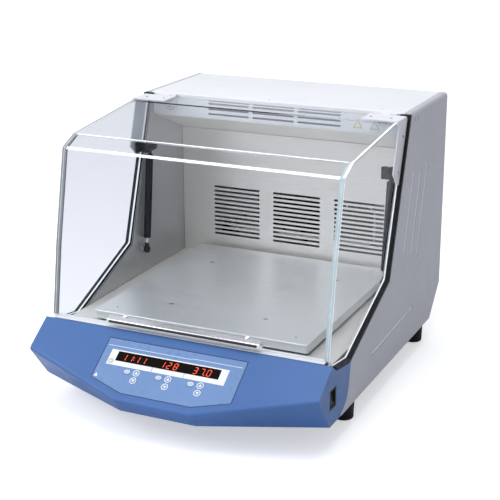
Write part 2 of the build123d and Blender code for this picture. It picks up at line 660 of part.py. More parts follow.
for side, label in ((-1, "left"), (1, "right")):
    with BuildPart() as strut_rod:
        with BuildSketch(strut_plane(side, -SOCKET_BELOW)):
            Circle(SOCKET_RADIUS)
        extrude(amount=SOCKET_BELOW + SOCKET_ABOVE)
        chamfer(strut_rod.edges().filter_by(GeomType.CIRCLE), 1.5)
        with Locations(Location((side * (STRUT_X - 3), *STRUT_LOW), (0, side * 90, 0))):
            Cylinder(STUD_RADIUS + RUNNING, 14, align=STANDING, mode=Mode.SUBTRACT)
        with BuildSketch(strut_plane(side, SOCKET_ABOVE)):
            Circle(ROD_RADIUS)
        extrude(amount=PISTON_PLACE - SOCKET_ABOVE)
        with BuildSketch(strut_plane(side, PISTON_PLACE)):
            Circle(BORE_RADIUS - RUNNING)
        extrude(amount=PISTON_HEIGHT)
    finish(strut_rod.part, f"{label}_strut_rod")

    with BuildPart() as strut_cylinder:
        with BuildSketch(strut_plane(side, CYLINDER_START)):
            Circle(CYLINDER_RADIUS)
        extrude(amount=STRUT_LENGTH - CYLINDER_START + SOCKET_BELOW)
        chamfer(strut_cylinder.edges().filter_by(GeomType.CIRCLE), 1.2)
        with BuildSketch(strut_plane(side, CYLINDER_START)):
            Circle(ROD_RADIUS + RUNNING)
        extrude(amount=GLAND, mode=Mode.SUBTRACT)
        with BuildSketch(strut_plane(side, CYLINDER_START + GLAND)):
            Circle(BORE_RADIUS)
        extrude(amount=STRUT_LENGTH - CYLINDER_START - GLAND - 14, mode=Mode.SUBTRACT)
    finish(strut_cylinder.part, f"{label}_strut_cylinder")

BRACKET = 3.0
BRACKET_LUG_X = 248.5
BRACKET_Y = 84.0
BRACKET_FOOT_Z = 402.0
BRACKET_HEIGHT = 24.0
BRACKET_PAD = 14.0
PANE_INSIDE_X = HOOD_X - HOOD_PANE - 0.1
LUG_RADIUS = 8.0
with BuildPart() as right_bracket:
    # pad on the pane, cross flange in front of the strut, and the lug with its stud
    with Locations((PANE_INSIDE_X, BRACKET_Y - BRACKET_PAD, BRACKET_FOOT_Z)):
        Box(BRACKET, BRACKET_PAD + BRACKET, BRACKET_HEIGHT, align=(Align.MAX, Align.MIN, Align.MIN))
    with Locations((BRACKET_LUG_X, BRACKET_Y, BRACKET_FOOT_Z)):
        Box(PANE_INSIDE_X - BRACKET_LUG_X, BRACKET, BRACKET_HEIGHT, align=CORNER)
    with BuildSketch(Plane.YZ.offset(BRACKET_LUG_X)):
        Polygon((BRACKET_Y, BRACKET_FOOT_Z + 4), (BRACKET_Y, BRACKET_FOOT_Z + BRACKET_HEIGHT - 4),
                (STRUT_HIGH[0], STRUT_HIGH[1] + LUG_RADIUS), (STRUT_HIGH[0], STRUT_HIGH[1] - LUG_RADIUS),
                align=None)
        with Locations(STRUT_HIGH):
            Circle(LUG_RADIUS)
    extrude(amount=BRACKET)
    with Locations(Location((BRACKET_LUG_X + BRACKET, *STRUT_HIGH), (0, 90, 0))):
        Cylinder(STUD_RADIUS, STRUT_X - CYLINDER_RADIUS - 0.4 - BRACKET_LUG_X - BRACKET,
                 align=STANDING)

with BuildPart() as strut_brackets:
    add(right_bracket.part)
    mirror(right_bracket.part, about=Plane.YZ)
finish(strut_brackets.part, "strut_brackets")

with BuildPart() as right_studs:
    # ball stud of the strut on the chamber wall, then the hinge pin
    with Locations(Location((WALL_X, *STRUT_LOW), (0, -90, 0))):
        Cylinder(7, 1.4, align=STANDING)
        Cylinder(STUD_RADIUS, 12, align=STANDING)
    hinge_rod(PIN_RADIUS, LUG_KNUCKLES[0][0] - 1, LUG_KNUCKLES[1][1] + 1)

with BuildPart() as pivot_studs:
    add(right_studs.part)
    mirror(right_studs.part, about=Plane.YZ)
finish(pivot_studs.part, "pivot_studs")

# ---------------------------------------------------------------- shaking tray
TRAY_UNDERSIDE = TRAY_TOP_Z - TRAY_SHEET
CARRIER_Z = 149.5
TRAY_SCREWS = [(-100.0, -112.0), (100.0, -112.0), (-140.0, 144.0), (140.0, 144.0)]
CRANK_PLACES = [(0.0, DRIVE_Y), *GUIDE_PLACES]
PIN_PLACES = [(x, y + ORBIT) for x, y in CRANK_PLACES]
CRANK_BEARING_RADIUS = 13.0

with BuildPart() as tray:
    with Locations((0, TRAY_Y, TRAY_TOP_Z)):
        Box(2 * TRAY_HALF_X, 2 * TRAY_HALF_Y, TRAY_FLANGE, align=HANGING)
    fillet(tray.edges().filter_by(Axis.Z), radius=6)
    fillet(tray.faces().sort_by(Axis.Z)[-1].edges(), radius=2)
    offset(amount=-TRAY_SHEET, openings=tray.faces().sort_by(Axis.Z)[0])
    with Locations(*[(x, y, TRAY_TOP_Z) for x, y in TRAY_SCREWS]):
        CounterSinkHole(radius=2.7, counter_sink_radius=5.2, depth=TRAY_SHEET)
    with Locations((0, TRAY_Y, TRAY_TOP_Z)):
        with GridLocations(TRAY_HOLE_X, TRAY_HOLE_Y, 2, 2):
            Hole(TRAY_HOLE_RADIUS, depth=TRAY_SHEET)
finish(tray.part, "tray")

with BuildPart() as tray_carrier:
    with BuildSketch(Plane.XY.offset(CARRIER_Z)):
        with Locations((0, TRAY_Y + 8)):
            RectangleRounded(344, 340, 20)
        with Locations(*[(x, y) for x in (-85, 85) for y in (TRAY_Y - 50, TRAY_Y + 75)]):
            RectangleRounded(90, 60, 15, mode=Mode.SUBTRACT)
        with Locations(*PIN_PLACES):
            Circle(CRANK_BEARING_RADIUS + 0.02, mode=Mode.SUBTRACT)
    extrude(amount=TRAY_UNDERSIDE - CARRIER_Z)
    with Locations(*[(x, y, TRAY_UNDERSIDE) for x, y in TRAY_SCREWS]):
        Hole(2.05)
finish(tray_carrier.part, "tray_carrier")

with BuildPart() as crank_bearings:
    with BuildSketch(Plane.XY.offset(CARRIER_Z + 0.4)):
        with Locations(*PIN_PLACES):
            Circle(CRANK_BEARING_RADIUS)
            Circle(CRANK_PIN_RADIUS + RUNNING, mode=Mode.SUBTRACT)
    extrude(amount=BEARING_WIDTH)
finish(crank_bearings.part, "crank_bearings")

with BuildPart() as tray_screws:
    with Locations(*[(x, y, TRAY_TOP_Z - 0.2) for x, y in TRAY_SCREWS]):
        Cylinder(2.0, 12, align=HANGING)
        Cone(2.4, 4.8, 2.2, align=HANGING)
    with BuildSketch(Plane.XY.offset(TRAY_TOP_Z - 0.2)):
        with Locations(*TRAY_SCREWS):
            RegularPolygon(1.5, 6)
    extrude(amount=-1.4, mode=Mode.SUBTRACT)
finish(tray_screws.part, "tray_screws")

# ---------------------------------------------------------------- orbital drive
DRIVE_BASE = FOOT_HEIGHT + BASE_SHEET
DISC_Z = 126.0
DISC_HEIGHT = 10.0
CRANK_TOP = 158.0
MAIN_HOUSING_TOP = 98.0
GUIDE_HOUSING_TOP = 122.0
HOUSING_TOPS = [MAIN_HOUSING_TOP] + [GUIDE_HOUSING_TOP] * len(GUIDE_PLACES)
SHAFT_BEARING_RADIUS = 15.0

with BuildPart() as bearing_housings:
    for (x, y), top in zip(CRANK_PLACES, HOUSING_TOPS):
        with Locations((x, y, DRIVE_BASE)):
            Cylinder(22, top - DRIVE_BASE, align=STANDING)
            Cylinder(32, 6, align=STANDING)
        with Locations((x, y, DRIVE_BASE + 6)):
            with PolarLocations(27, 4, start_angle=45):
                Hole(2.2, depth=6)
        with Locations((x, y, top)):
            Hole(SHAFT_BEARING_RADIUS + 0.02, depth=top - DRIVE_BASE)
finish(bearing_housings.part, "bearing_housings")

with BuildPart() as shaft_bearings:
    for (x, y), top in zip(CRANK_PLACES, HOUSING_TOPS):
        for start in (DRIVE_BASE + 4, top - BEARING_WIDTH - 1):
            with BuildSketch(Plane.XY.offset(start)):
                with Locations((x, y)):
                    Circle(SHAFT_BEARING_RADIUS)
                    Circle(SHAFT_RADIUS + RUNNING, mode=Mode.SUBTRACT)
            extrude(amount=BEARING_WIDTH)
finish(shaft_bearings.part, "shaft_bearings")


def crank(place, disc_radius, counterweight_radius):
    """Vertical crankshaft with its eccentric pin towards the back."""
    x, y = place
    with BuildPart() as body:
        with Locations((x, y, DRIVE_BASE + 2)):
            Cylinder(SHAFT_RADIUS, DISC_Z - DRIVE_BASE - 2, align=STANDING)
        with Locations((x, y, DISC_Z)):
            Cylinder(disc_radius, DISC_HEIGHT, align=STANDING)
        with Locations((x, y + ORBIT, DISC_Z)):
            Cylinder(CRANK_PIN_RADIUS, CRANK_TOP - DISC_Z, align=STANDING)
        if counterweight_radius:
            with BuildSketch(Plane.XY.offset(DISC_Z)):
                with Locations((x, y)):
                    Circle(counterweight_radius)
                with Locations((x, y - 6)):
                    Rectangle(2 * counterweight_radius, counterweight_radius + 20,
                              align=(Align.CENTER, Align.MIN), mode=Mode.SUBTRACT)
            extrude(amount=DISC_HEIGHT)
    return body.part


finish(crank(CRANK_PLACES[0], 20, 46), "main_crank")
for label, place in zip(("left", "right", "rear"), GUIDE_PLACES):
    finish(crank(place, 18, 0), f"{label}_guide_crank")

FLANGE_HEIGHT = 2.5
FLANGE_RISE = 3.5
GROOVE_WIDTH = BELT_WIDTH + 1


def pulley_blank(place, radius):
    """Flanged pulley without its bore."""
    with BuildPart() as blank:
        with Locations((*place, BELT_Z)):
            Cylinder(radius, GROOVE_WIDTH)
        for rise in (-1, 1):
            with Locations((*place, BELT_Z + rise * (GROOVE_WIDTH + FLANGE_HEIGHT) / 2)):
                Cylinder(radius + FLANGE_RISE, FLANGE_HEIGHT)
    return blank.part


with BuildPart() as crank_pulley:
    add(pulley_blank((0, DRIVE_Y), CRANK_PULLEY_RADIUS))
    with Locations((0, DRIVE_Y, BELT_Z)):
        Cylinder(SHAFT_RADIUS + 0.01, 40, mode=Mode.SUBTRACT)
        with PolarLocations(28, 5):
            Cylinder(10, 40, mode=Mode.SUBTRACT)
finish(crank_pulley.part, "crank_pulley")

MOTOR_TOP = 92.0
MOTOR_SHAFT_RADIUS = 4.0
with BuildPart() as motor_pulley:
    add(pulley_blank(MOTOR_PLACE, MOTOR_PULLEY_RADIUS))
    with Locations((*MOTOR_PLACE, MOTOR_TOP - 30)):
        Cylinder(MOTOR_SHAFT_RADIUS, BELT_Z - MOTOR_TOP + 30, align=STANDING)
finish(motor_pulley.part, "motor_pulley")

with BuildPart() as drive_belt:
    with BuildSketch(Plane.XY.offset(BELT_Z - BELT_WIDTH / 2)):
        with Locations((0, DRIVE_Y)):
            Circle(CRANK_PULLEY_RADIUS + 0.3 + BELT_THICKNESS)
        with Locations(MOTOR_PLACE):
            Circle(MOTOR_PULLEY_RADIUS + 0.3 + BELT_THICKNESS)
        make_hull()
        offset(amount=-BELT_THICKNESS, mode=Mode.SUBTRACT)
    extrude(amount=BELT_WIDTH)
finish(drive_belt.part, "drive_belt")

with BuildPart() as drive_motor:
    with Locations((*MOTOR_PLACE, MOTOR_TOP - 38)):
        Cylinder(34, 38, align=STANDING)
    with Locations((*MOTOR_PLACE, MOTOR_TOP)):
        Box(90, 90, 4, align=STANDING)
    with Locations((*MOTOR_PLACE, DRIVE_BASE)):
        with GridLocations(78, 78, 2, 2):
            Cylinder(5, MOTOR_TOP - DRIVE_BASE, align=STANDING)
    with Locations((*MOTOR_PLACE, MOTOR_TOP + 4)):
        Hole(MOTOR_SHAFT_RADIUS + RUNNING, depth=38)
finish(drive_motor.part, "drive_motor")

# ---------------------------------------------------------------- heating and air circulation
FAN_FRONT_Y = 300.0
FAN_DEPTH = 20.0
FAN_RADIUS = 58.0
FAN_SHAFT_RADIUS = 3.0
fan_plane = Plane.XZ.offset(-FAN_FRONT_Y)
with BuildPart() as fan_wheel:
    with BuildSketch(fan_plane):
        with Locations((0, FAN_Z)):
            Circle(15)
    extrude(amount=-FAN_DEPTH)
    with BuildSketch(fan_plane.offset(-FAN_DEPTH)):
        with Locations((0, FAN_Z)):
            Circle(FAN_SHAFT_RADIUS)
    extrude(amount=-22)
    blade_plane = Plane((0, FAN_FRONT_Y + FAN_DEPTH / 2, FAN_Z + 14), x_dir=(1, 0, 0), z_dir=(0, 0, 1))
    with BuildSketch(blade_plane):
        with Locations(Rotation(0, 0, 35)):
            Rectangle(26, 2)
    blade = extrude(amount=FAN_RADIUS - 14, mode=Mode.PRIVATE)
    for step in range(6):
        add(blade.rotate(Axis((0, 0, FAN_Z), (0, 1, 0)), step * 60))
finish(fan_wheel.part, "fan_wheel")

with BuildPart() as fan_motor:
    with BuildSketch(fan_plane.offset(FAN_FRONT_Y - BACK + SHEET + 0.05)):
        with Locations((0, FAN_Z)):
            Circle(24)
            Circle(FAN_SHAFT_RADIUS + RUNNING, mode=Mode.SUBTRACT)
    extrude(amount=BACK - SHEET - FAN_FRONT_Y - FAN_DEPTH - 4)
    with BuildSketch(fan_plane.offset(FAN_FRONT_Y - BACK + SHEET + 0.05)):
        with Locations((0, FAN_Z)):
            RectangleRounded(150, 26, 6)
            Circle(FAN_SHAFT_RADIUS + RUNNING, mode=Mode.SUBTRACT)
    extrude(amount=3)
finish(fan_motor.part, "fan_motor")

HEATER_Y = 284.0
HEATER_END_Y = BACK - SHEET - 0.1
HEATER_X = 170.0
HEATER_LOW_Z = 200.0
HEATER_HIGH_Z = 285.0
with BuildPart() as heater_element:
    with BuildLine():
        FilletPolyline((-HEATER_X, HEATER_END_Y, HEATER_LOW_Z), (-HEATER_X, HEATER_Y, HEATER_LOW_Z),
                       (HEATER_X, HEATER_Y, HEATER_LOW_Z), (HEATER_X, HEATER_Y, HEATER_HIGH_Z),
                       (-HEATER_X, HEATER_Y, HEATER_HIGH_Z), (-HEATER_X, HEATER_END_Y, HEATER_HIGH_Z),
                       radius=18)
    with BuildSketch(Plane((-HEATER_X, HEATER_END_Y, HEATER_LOW_Z), z_dir=(0, -1, 0))):
        Circle(4)
    sweep()
finish(heater_element.part, "heater_element")

with BuildPart() as temperature_sensor:
    with Locations((70.5, BACK_WALL_Y + LINER + 5, 200)):
        Cylinder(2.5, 70, align=STANDING)
    with Locations((70.5, BACK_WALL_Y + LINER, 240)):
        Box(14, 9, 8, align=(Align.CENTER, Align.MIN, Align.CENTER))
finish(temperature_sensor.part, "temperature_sensor")

# ---------------------------------------------------------------- electrics
with BuildPart() as power_supply:
    with Locations((-190, 235, DRIVE_BASE)):
        Box(120, 100, 52, align=STANDING)
    fillet(power_supply.edges().filter_by(Axis.Z), radius=4)
    with Locations((-190, 235, DRIVE_BASE + 52)):
        with GridLocations(0, 12, 1, 7):
            Box(100, 4, 8, mode=Mode.SUBTRACT)
finish(power_supply.part, "power_supply")

INLET_SOCKET = (22.5, 17.0, 15.0)
INLET_PINS = [(-7.0, -2.0), (0.0, 3.0), (7.0, -2.0)]
INWARDS = (Align.CENTER, Align.MAX, Align.CENTER)
with BuildPart() as mains_inlet:
    with Locations((INLET_PLACE[0], BACK, INLET_PLACE[1])):
        Box(INLET_SIZE[0], 25, INLET_SIZE[1], align=INWARDS)
    with Locations((INLET_PLACE[0], BACK - SHEET - 0.1, INLET_PLACE[1])):
        Box(36, 2, 28, align=INWARDS)
    with Locations((INLET_PLACE[0], BACK, INLET_PLACE[1])):
        Box(*INLET_SOCKET, align=INWARDS, mode=Mode.SUBTRACT)
    for dx, dz in INLET_PINS:
        with Locations((INLET_PLACE[0] + dx, BACK - INLET_SOCKET[1], INLET_PLACE[1] + dz)):
            Box(2, 10, 4, align=(Align.CENTER, Align.MIN, Align.CENTER))
finish(mains_inlet.part, "mains_inlet")

with BuildPart() as panel_screws:
    for side in (-1, 1):
        for y, z in SIDE_SCREWS:
            with Locations(Location((side * (HALF - SCREW_SINK), y, z), (0, -side * 90, 0))):
                Cylinder(SCREW_RADIUS, 7, align=STANDING)
                Cylinder(1.1, 1, align=STANDING, mode=Mode.SUBTRACT)
    with Locations(*[(x, y, HEIGHT - SCREW_SINK) for x, y in TOP_SCREWS]):
        Cylinder(SCREW_RADIUS, 7, align=HANGING)
        Cylinder(1.1, 1, align=HANGING, mode=Mode.SUBTRACT)
finish(panel_screws.part, "panel_screws")
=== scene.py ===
"""Looks of an incubating orbital shaker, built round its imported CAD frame.

Metres: +X to the operator's right, +Y towards the back, +Z up, origin on the bench under the middle.
The hood, the struts and the small fittings are built here. The CAD pieces keep their shape and get a
material.
"""

import json
import math

import bmesh
import bpy
from mathutils import Matrix, Quaternion, Vector


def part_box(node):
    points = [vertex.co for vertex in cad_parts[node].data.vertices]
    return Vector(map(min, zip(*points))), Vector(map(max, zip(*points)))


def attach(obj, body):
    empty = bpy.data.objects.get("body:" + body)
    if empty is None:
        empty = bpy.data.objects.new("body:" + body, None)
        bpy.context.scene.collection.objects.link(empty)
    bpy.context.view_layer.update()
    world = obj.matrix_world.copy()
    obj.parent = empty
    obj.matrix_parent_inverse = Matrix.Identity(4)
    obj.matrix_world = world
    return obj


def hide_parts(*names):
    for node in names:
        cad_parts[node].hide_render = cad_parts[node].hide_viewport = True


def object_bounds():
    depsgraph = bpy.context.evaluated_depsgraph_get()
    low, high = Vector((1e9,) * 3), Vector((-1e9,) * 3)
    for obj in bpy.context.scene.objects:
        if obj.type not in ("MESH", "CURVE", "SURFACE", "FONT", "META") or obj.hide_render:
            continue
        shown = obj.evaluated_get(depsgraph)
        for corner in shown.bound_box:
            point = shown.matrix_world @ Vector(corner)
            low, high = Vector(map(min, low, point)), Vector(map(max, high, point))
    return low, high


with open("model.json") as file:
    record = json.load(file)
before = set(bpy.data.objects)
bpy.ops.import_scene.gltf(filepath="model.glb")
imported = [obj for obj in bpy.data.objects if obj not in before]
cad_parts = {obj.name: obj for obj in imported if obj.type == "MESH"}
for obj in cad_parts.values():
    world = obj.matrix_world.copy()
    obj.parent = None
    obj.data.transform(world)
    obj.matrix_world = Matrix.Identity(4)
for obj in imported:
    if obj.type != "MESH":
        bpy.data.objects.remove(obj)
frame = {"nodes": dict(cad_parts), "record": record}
cad_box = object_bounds()
MM = 0.001

# ---------------------------------------------------------------- driving places, from the frame
LOW, HIGH = cad_box
VENT_FACE_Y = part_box("vent_panel")[0].y
RAIL_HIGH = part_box("handle_rail")[1]
PANEL_FACE_X = HIGH.x

# hood, Y and Z of its outer face from the hinge to the lower edge, and the cabinet edge it closes on
HOOD_PROFILE = [
    (0.128, 0.514),
    (0.072, 0.5136),
    (-0.150, 0.490),
    (-0.189, 0.472),
    (-0.226, 0.299),
    (-0.248, 0.162),
]
CABINET_EDGE = [(-0.235, 0.141), (-0.166, 0.131), (0.040, 0.215), (0.142, 0.520)]
PANE = 0.005               # thickness of the acrylic
PANE_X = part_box("hood_side_panes")[1].x
EDGE_GAP = 0.0065          # between the cabinet edge and the panes' rear edges

# sloped face of the front housing: its upper edge, its angle, and the directions up it and off it
SLOPE_ORIGIN = Vector((0.0, -0.258, 0.158))
SLOPE_ANGLE = math.atan(0.70)
UP_SLOPE = Vector((0.0, math.cos(SLOPE_ANGLE), math.sin(SLOPE_ANGLE)))
OFF_SLOPE = Vector((0.0, -math.sin(SLOPE_ANGLE), math.cos(SLOPE_ANGLE)))


def on_slope(x, down, lift):
    """Point on the sloped face, from millimetres across, down the slope and off the surface."""
    return SLOPE_ORIGIN + Vector((x * MM, 0, 0)) - UP_SLOPE * (down * MM) + OFF_SLOPE * (lift * MM)


# ---------------------------------------------------------------- material helpers
NOISE_LOW, NOISE_HIGH = 0.3, 0.7        # range that most of the noise falls in
EVEN, ACROSS, UPWARDS = (1, 1, 1), (0.02, 1, 1), (1, 1, 0.02)      # how a grain is stretched


def new_material(name, colour, roughness, metallic=0.0):
    """Principled material with plain values; returns it with its tree and shader."""
    material = bpy.data.materials.new(name)
    material.use_nodes = True
    tree = material.node_tree
    shader = tree.nodes["Principled BSDF"]
    shader.inputs["Base Color"].default_value = (*colour, 1)
    shader.inputs["Roughness"].default_value = roughness
    shader.inputs["Metallic"].default_value = metallic
    return material, tree, shader


def noise(tree, scale, stretch=EVEN, detail=3.0):
    """Noise over the piece's own coordinates, stretched along the axes."""
    place = tree.nodes.new("ShaderNodeTexCoord")
    mapping = tree.nodes.new("ShaderNodeMapping")
    mapping.inputs["Scale"].default_value = stretch
    texture = tree.nodes.new("ShaderNodeTexNoise")
    texture.inputs["Scale"].default_value = scale
    texture.inputs["Detail"].default_value = detail
    tree.links.new(place.outputs["Object"], mapping.inputs["Vector"])
    tree.links.new(mapping.outputs["Vector"], texture.inputs["Vector"])
    return texture.outputs["Fac"]


def vary_colour(tree, shader, colour, spread, source):
    """Colour that drifts a little lighter and darker."""
    ramp = tree.nodes.new("ShaderNodeValToRGB")
    ramp.color_ramp.elements[0].position = NOISE_LOW
    ramp.color_ramp.elements[1].position = NOISE_HIGH
    ramp.color_ramp.elements[0].color = (*[c * (1 - spread) for c in colour], 1)
    ramp.color_ramp.elements[1].color = (*[min(1, c * (1 + spread)) for c in colour], 1)
    tree.links.new(source, ramp.inputs["Fac"])
    tree.links.new(ramp.outputs["Color"], shader.inputs["Base Color"])


def vary_roughness(tree, shader, low, high, source):
    """Roughness that drifts between two values."""
    span = tree.nodes.new("ShaderNodeMapRange")
    span.inputs["From Min"].default_value = NOISE_LOW
    span.inputs["From Max"].default_value = NOISE_HIGH
    span.inputs["To Min"].default_value = low
    span.inputs["To Max"].default_value = high
    tree.links.new(source, span.inputs["Value"])
    tree.links.new(span.outputs["Result"], shader.inputs["Roughness"])


def relief(tree, shader, depth, source, strength):
    """Bump of the given depth in metres."""
    bump = tree.nodes.new("ShaderNodeBump")
    bump.inputs["Strength"].default_value = strength
    bump.inputs["Distance"].default_value = depth
    tree.links.new(source, bump.inputs["Height"])
    tree.links.new(bump.outputs["Normal"], shader.inputs["Normal"])


# ---------------------------------------------------------------- kinds of material
def powder_coat(name, colour):
    """Baked powder coat with its fine orange-peel texture."""
    material, tree, shader = new_material(name, colour, roughness=0.45)
    vary_colour(tree, shader, colour, 0.025, noise(tree, scale=7))
    vary_roughness(tree, shader, 0.36, 0.50, noise(tree, scale=55))
    relief(tree, shader, 0.00010, noise(tree, scale=750, detail=5), strength=0.55)
    return material


def moulded_plastic(name, colour, low=0.30, high=0.42, grain=1100, depth=0.00006, shine=0.5):
    """Satin plastic of a roughness from low to high, with the grain of a spark-eroded mould."""
    material, tree, shader = new_material(name, colour, low)
    shader.inputs["Specular IOR Level"].default_value = shine
    vary_colour(tree, shader, colour, 0.04, noise(tree, scale=9))
    vary_roughness(tree, shader, low, high, noise(tree, scale=40))
    relief(tree, shader, depth, noise(tree, grain, detail=6), strength=0.5)
    return material


def brushed_metal(name, colour, low, high, stretch, grain=900, depth=0.00002, spread=0.05, metallic=1.0):
    """Metal of a roughness from low to high, with fine lines along the axis whose stretch is small."""
    material, tree, shader = new_material(name, colour, low, metallic)
    lines = noise(tree, grain, stretch, detail=2)
    vary_colour(tree, shader, colour, spread, lines)
    vary_roughness(tree, shader, low, high, noise(tree, grain / 8, stretch))
    relief(tree, shader, depth, lines, strength=0.35)
    return material


def soft_rubber(name, colour):
    """Dull black rubber with a slightly uneven skin."""
    material, tree, shader = new_material(name, colour, roughness=0.6)
    shader.inputs["Specular IOR Level"].default_value = 0.25
    vary_colour(tree, shader, colour, 0.25, noise(tree, scale=80))
    vary_roughness(tree, shader, 0.42, 0.62, noise(tree, scale=120))
    relief(tree, shader, 0.00015, noise(tree, scale=500), strength=0.4)
    return material


ACRYLIC_TINT = (0.875, 0.882, 0.912)
ACRYLIC_IOR = 1.10         # below real acrylic, so that the panes mirror less of the pale room
SHADOW_TINT = (0.93, 0.95, 0.955)
# colour of the painted glow on the acrylic's edges
EDGE_LIGHT = (0.90, 0.96, 1.0)


def cast_acrylic(name):
    """Clear acrylic that lets lamps and bounced light through unbent."""
    material, tree, shader = new_material(name, ACRYLIC_TINT, roughness=0.0)
    shader.inputs["Transmission Weight"].default_value = 1.0
    shader.inputs["IOR"].default_value = ACRYLIC_IOR
    rays = tree.nodes.new("ShaderNodeLightPath")
    either = tree.nodes.new("ShaderNodeMath")
    either.operation = "MAXIMUM"
    clear = tree.nodes.new("ShaderNodeBsdfTransparent")
    clear.inputs["Color"].default_value = (*SHADOW_TINT, 1)
    mix = tree.nodes.new("ShaderNodeMixShader")
    output = tree.nodes["Material Output"]
    tree.links.new(rays.outputs["Is Shadow Ray"], either.inputs[0])
    tree.links.new(rays.outputs["Is Diffuse Ray"], either.inputs[1])
    tree.links.new(either.outputs["Value"], mix.inputs["Fac"])
    tree.links.new(shader.outputs["BSDF"], mix.inputs[1])
    tree.links.new(clear.outputs["BSDF"], mix.inputs[2])
    tree.links.new(mix.outputs["Shader"], output.inputs["Surface"])
    return material


def edge_with_painted_light(name, colour, glow):
    """Polished edge of acrylic with its light painted in: a tone and a painted glow for a lit or shaded edge.
    """
    material, tree, shader = new_material(name, colour, roughness=0.22)
    shader.inputs["Emission Color"].default_value = (*EDGE_LIGHT, 1)
    shader.inputs["Emission Strength"].default_value = glow
    vary_colour(tree, shader, colour, 0.12, noise(tree, scale=25))
    vary_roughness(tree, shader, 0.16, 0.30, noise(tree, scale=90))
    return material


def glowing(name, colour, strength):
    """Lit segment of a display."""
    material, tree, shader = new_material(name, colour, roughness=0.4)
    shader.inputs["Emission Color"].default_value = (*colour, 1)
    shader.inputs["Emission Strength"].default_value = strength
    vary_colour(tree, shader, colour, 0.08, noise(tree, scale=300))
    return material


def printed_ink(name, colour):
    """Screen-printed ink."""
    material, tree, shader = new_material(name, colour, roughness=0.4)
    vary_colour(tree, shader, colour, 0.03, noise(tree, scale=600))
    relief(tree, shader, 0.00002, noise(tree, scale=2500), strength=0.3)
    return material


# ---------------------------------------------------------------- materials
# painted sheet metal
# the sides' grey is the top's paint made darker: painted shade on the side panels
housing_grey = powder_coat("housing_grey", (0.485, 0.492, 0.56))
housing_top = powder_coat("housing_top", (0.765, 0.775, 0.82))
# lighter copy of the side panels' paint for the ribs in their beads: a painted highlight
ridge_painted_highlight = powder_coat("ridge_painted_highlight", (0.86, 0.865, 0.91))
vent_backing = powder_coat("vent_backing", (0.40, 0.405, 0.47))
hinge_grey = powder_coat("hinge_grey", (0.735, 0.735, 0.79))
black_steel = powder_coat("black_steel", (0.016, 0.016, 0.019))

# bare metal
chamber_sheet = brushed_metal("chamber_sheet", (0.86, 0.84, 0.80), 0.34, 0.48, ACROSS, metallic=0.5)
# darker copy of the chamber sheet for the side walls: painted shade
side_wall_painted_shade = brushed_metal("side_wall_painted_shade", (0.50, 0.50, 0.51), 0.30, 0.42, UPWARDS, metallic=0.6)
tray_sheet = brushed_metal("tray_sheet", (0.82, 0.84, 0.85), 0.28, 0.40, ACROSS, metallic=0.65)
zinc_sheet = brushed_metal("zinc_sheet", (0.58, 0.59, 0.60), 0.35, 0.5, EVEN, grain=60, spread=0.10)
rail_aluminium = brushed_metal("rail_aluminium", (0.86, 0.86, 0.87), 0.22, 0.32, ACROSS)
rod_steel = brushed_metal("rod_steel", (0.82, 0.82, 0.83), 0.08, 0.16, EVEN, grain=500, depth=0.000004)
machined_steel = brushed_metal("machined_steel", (0.56, 0.56, 0.55), 0.22, 0.35, (1, 1, 0.05), grain=700)
cast_aluminium = brushed_metal(
    "cast_aluminium", (0.60, 0.60, 0.60), 0.4, 0.55, EVEN, grain=300, depth=0.00012, spread=0.08)
screw_steel = brushed_metal("screw_steel", (0.50, 0.50, 0.50), 0.25, 0.4, EVEN, grain=900)

# plastic
blue_plastic = moulded_plastic("blue_plastic", (0.056, 0.148, 0.400), shine=0.4)
membrane_blue = moulded_plastic("membrane_blue", (0.155, 0.275, 0.540), 0.24, 0.34, grain=1900, depth=0.00002)
key_blue = moulded_plastic("key_blue", (0.175, 0.295, 0.560), 0.24, 0.34, grain=1900, depth=0.00002)
display_white = moulded_plastic("display_white", (0.86, 0.87, 0.88), 0.18, 0.28, grain=1900, depth=0.00001)
filter_black = moulded_plastic(
    "filter_black", (0.006, 0.004, 0.004), 0.16, 0.24, grain=900, depth=0.000004, shine=0.06)
black_plastic = moulded_plastic(
    "black_plastic", (0.012, 0.012, 0.013), 0.32, 0.45, grain=1300, depth=0.00005, shine=0.3)
circuit_board = moulded_plastic("circuit_board", (0.03, 0.19, 0.09), 0.3, 0.45, grain=700, depth=0.00008)
port_white = moulded_plastic("port_white", (0.80, 0.81, 0.82), 0.3, 0.4, grain=1500, depth=0.00002)
strut_black = moulded_plastic(
    "strut_black", (0.006, 0.007, 0.012), 0.16, 0.24, grain=600, depth=0.00001, shine=0.28)

# rubber and foam
black_rubber = soft_rubber("black_rubber", (0.006, 0.006, 0.007))
# dark rubber for the strip on the handle's lip: painted shade
rail_painted_shade = soft_rubber("rail_painted_shade", (0.055, 0.048, 0.050))
filter_foam = soft_rubber("filter_foam", (0.012, 0.012, 0.012))

# acrylic, with painted shade on its edges on the left, painted edge light on the right and painted highlights
# where the light falls
acrylic = cast_acrylic("acrylic")
acrylic_shade = edge_with_painted_light("acrylic_shade", (0.24, 0.26, 0.29), glow=0.02)
acrylic_painted_edge_light = edge_with_painted_light("acrylic_painted_edge_light", (0.46, 0.56, 0.61), glow=0.05)
acrylic_painted_highlight = edge_with_painted_light("acrylic_painted_highlight", (0.86, 0.90, 0.92), glow=0.30)

# prints and lit digits
white_ink = printed_ink("white_ink", (0.85, 0.88, 0.93))
dark_ink = printed_ink("dark_ink", (0.012, 0.022, 0.075))
grey_ink = printed_ink("grey_ink", (0.30, 0.32, 0.36))
yellow_ink = printed_ink("yellow_ink", (0.56, 0.54, 0.24))
lit_red = glowing("lit_red", (0.95, 0.085, 0.02), strength=0.85)

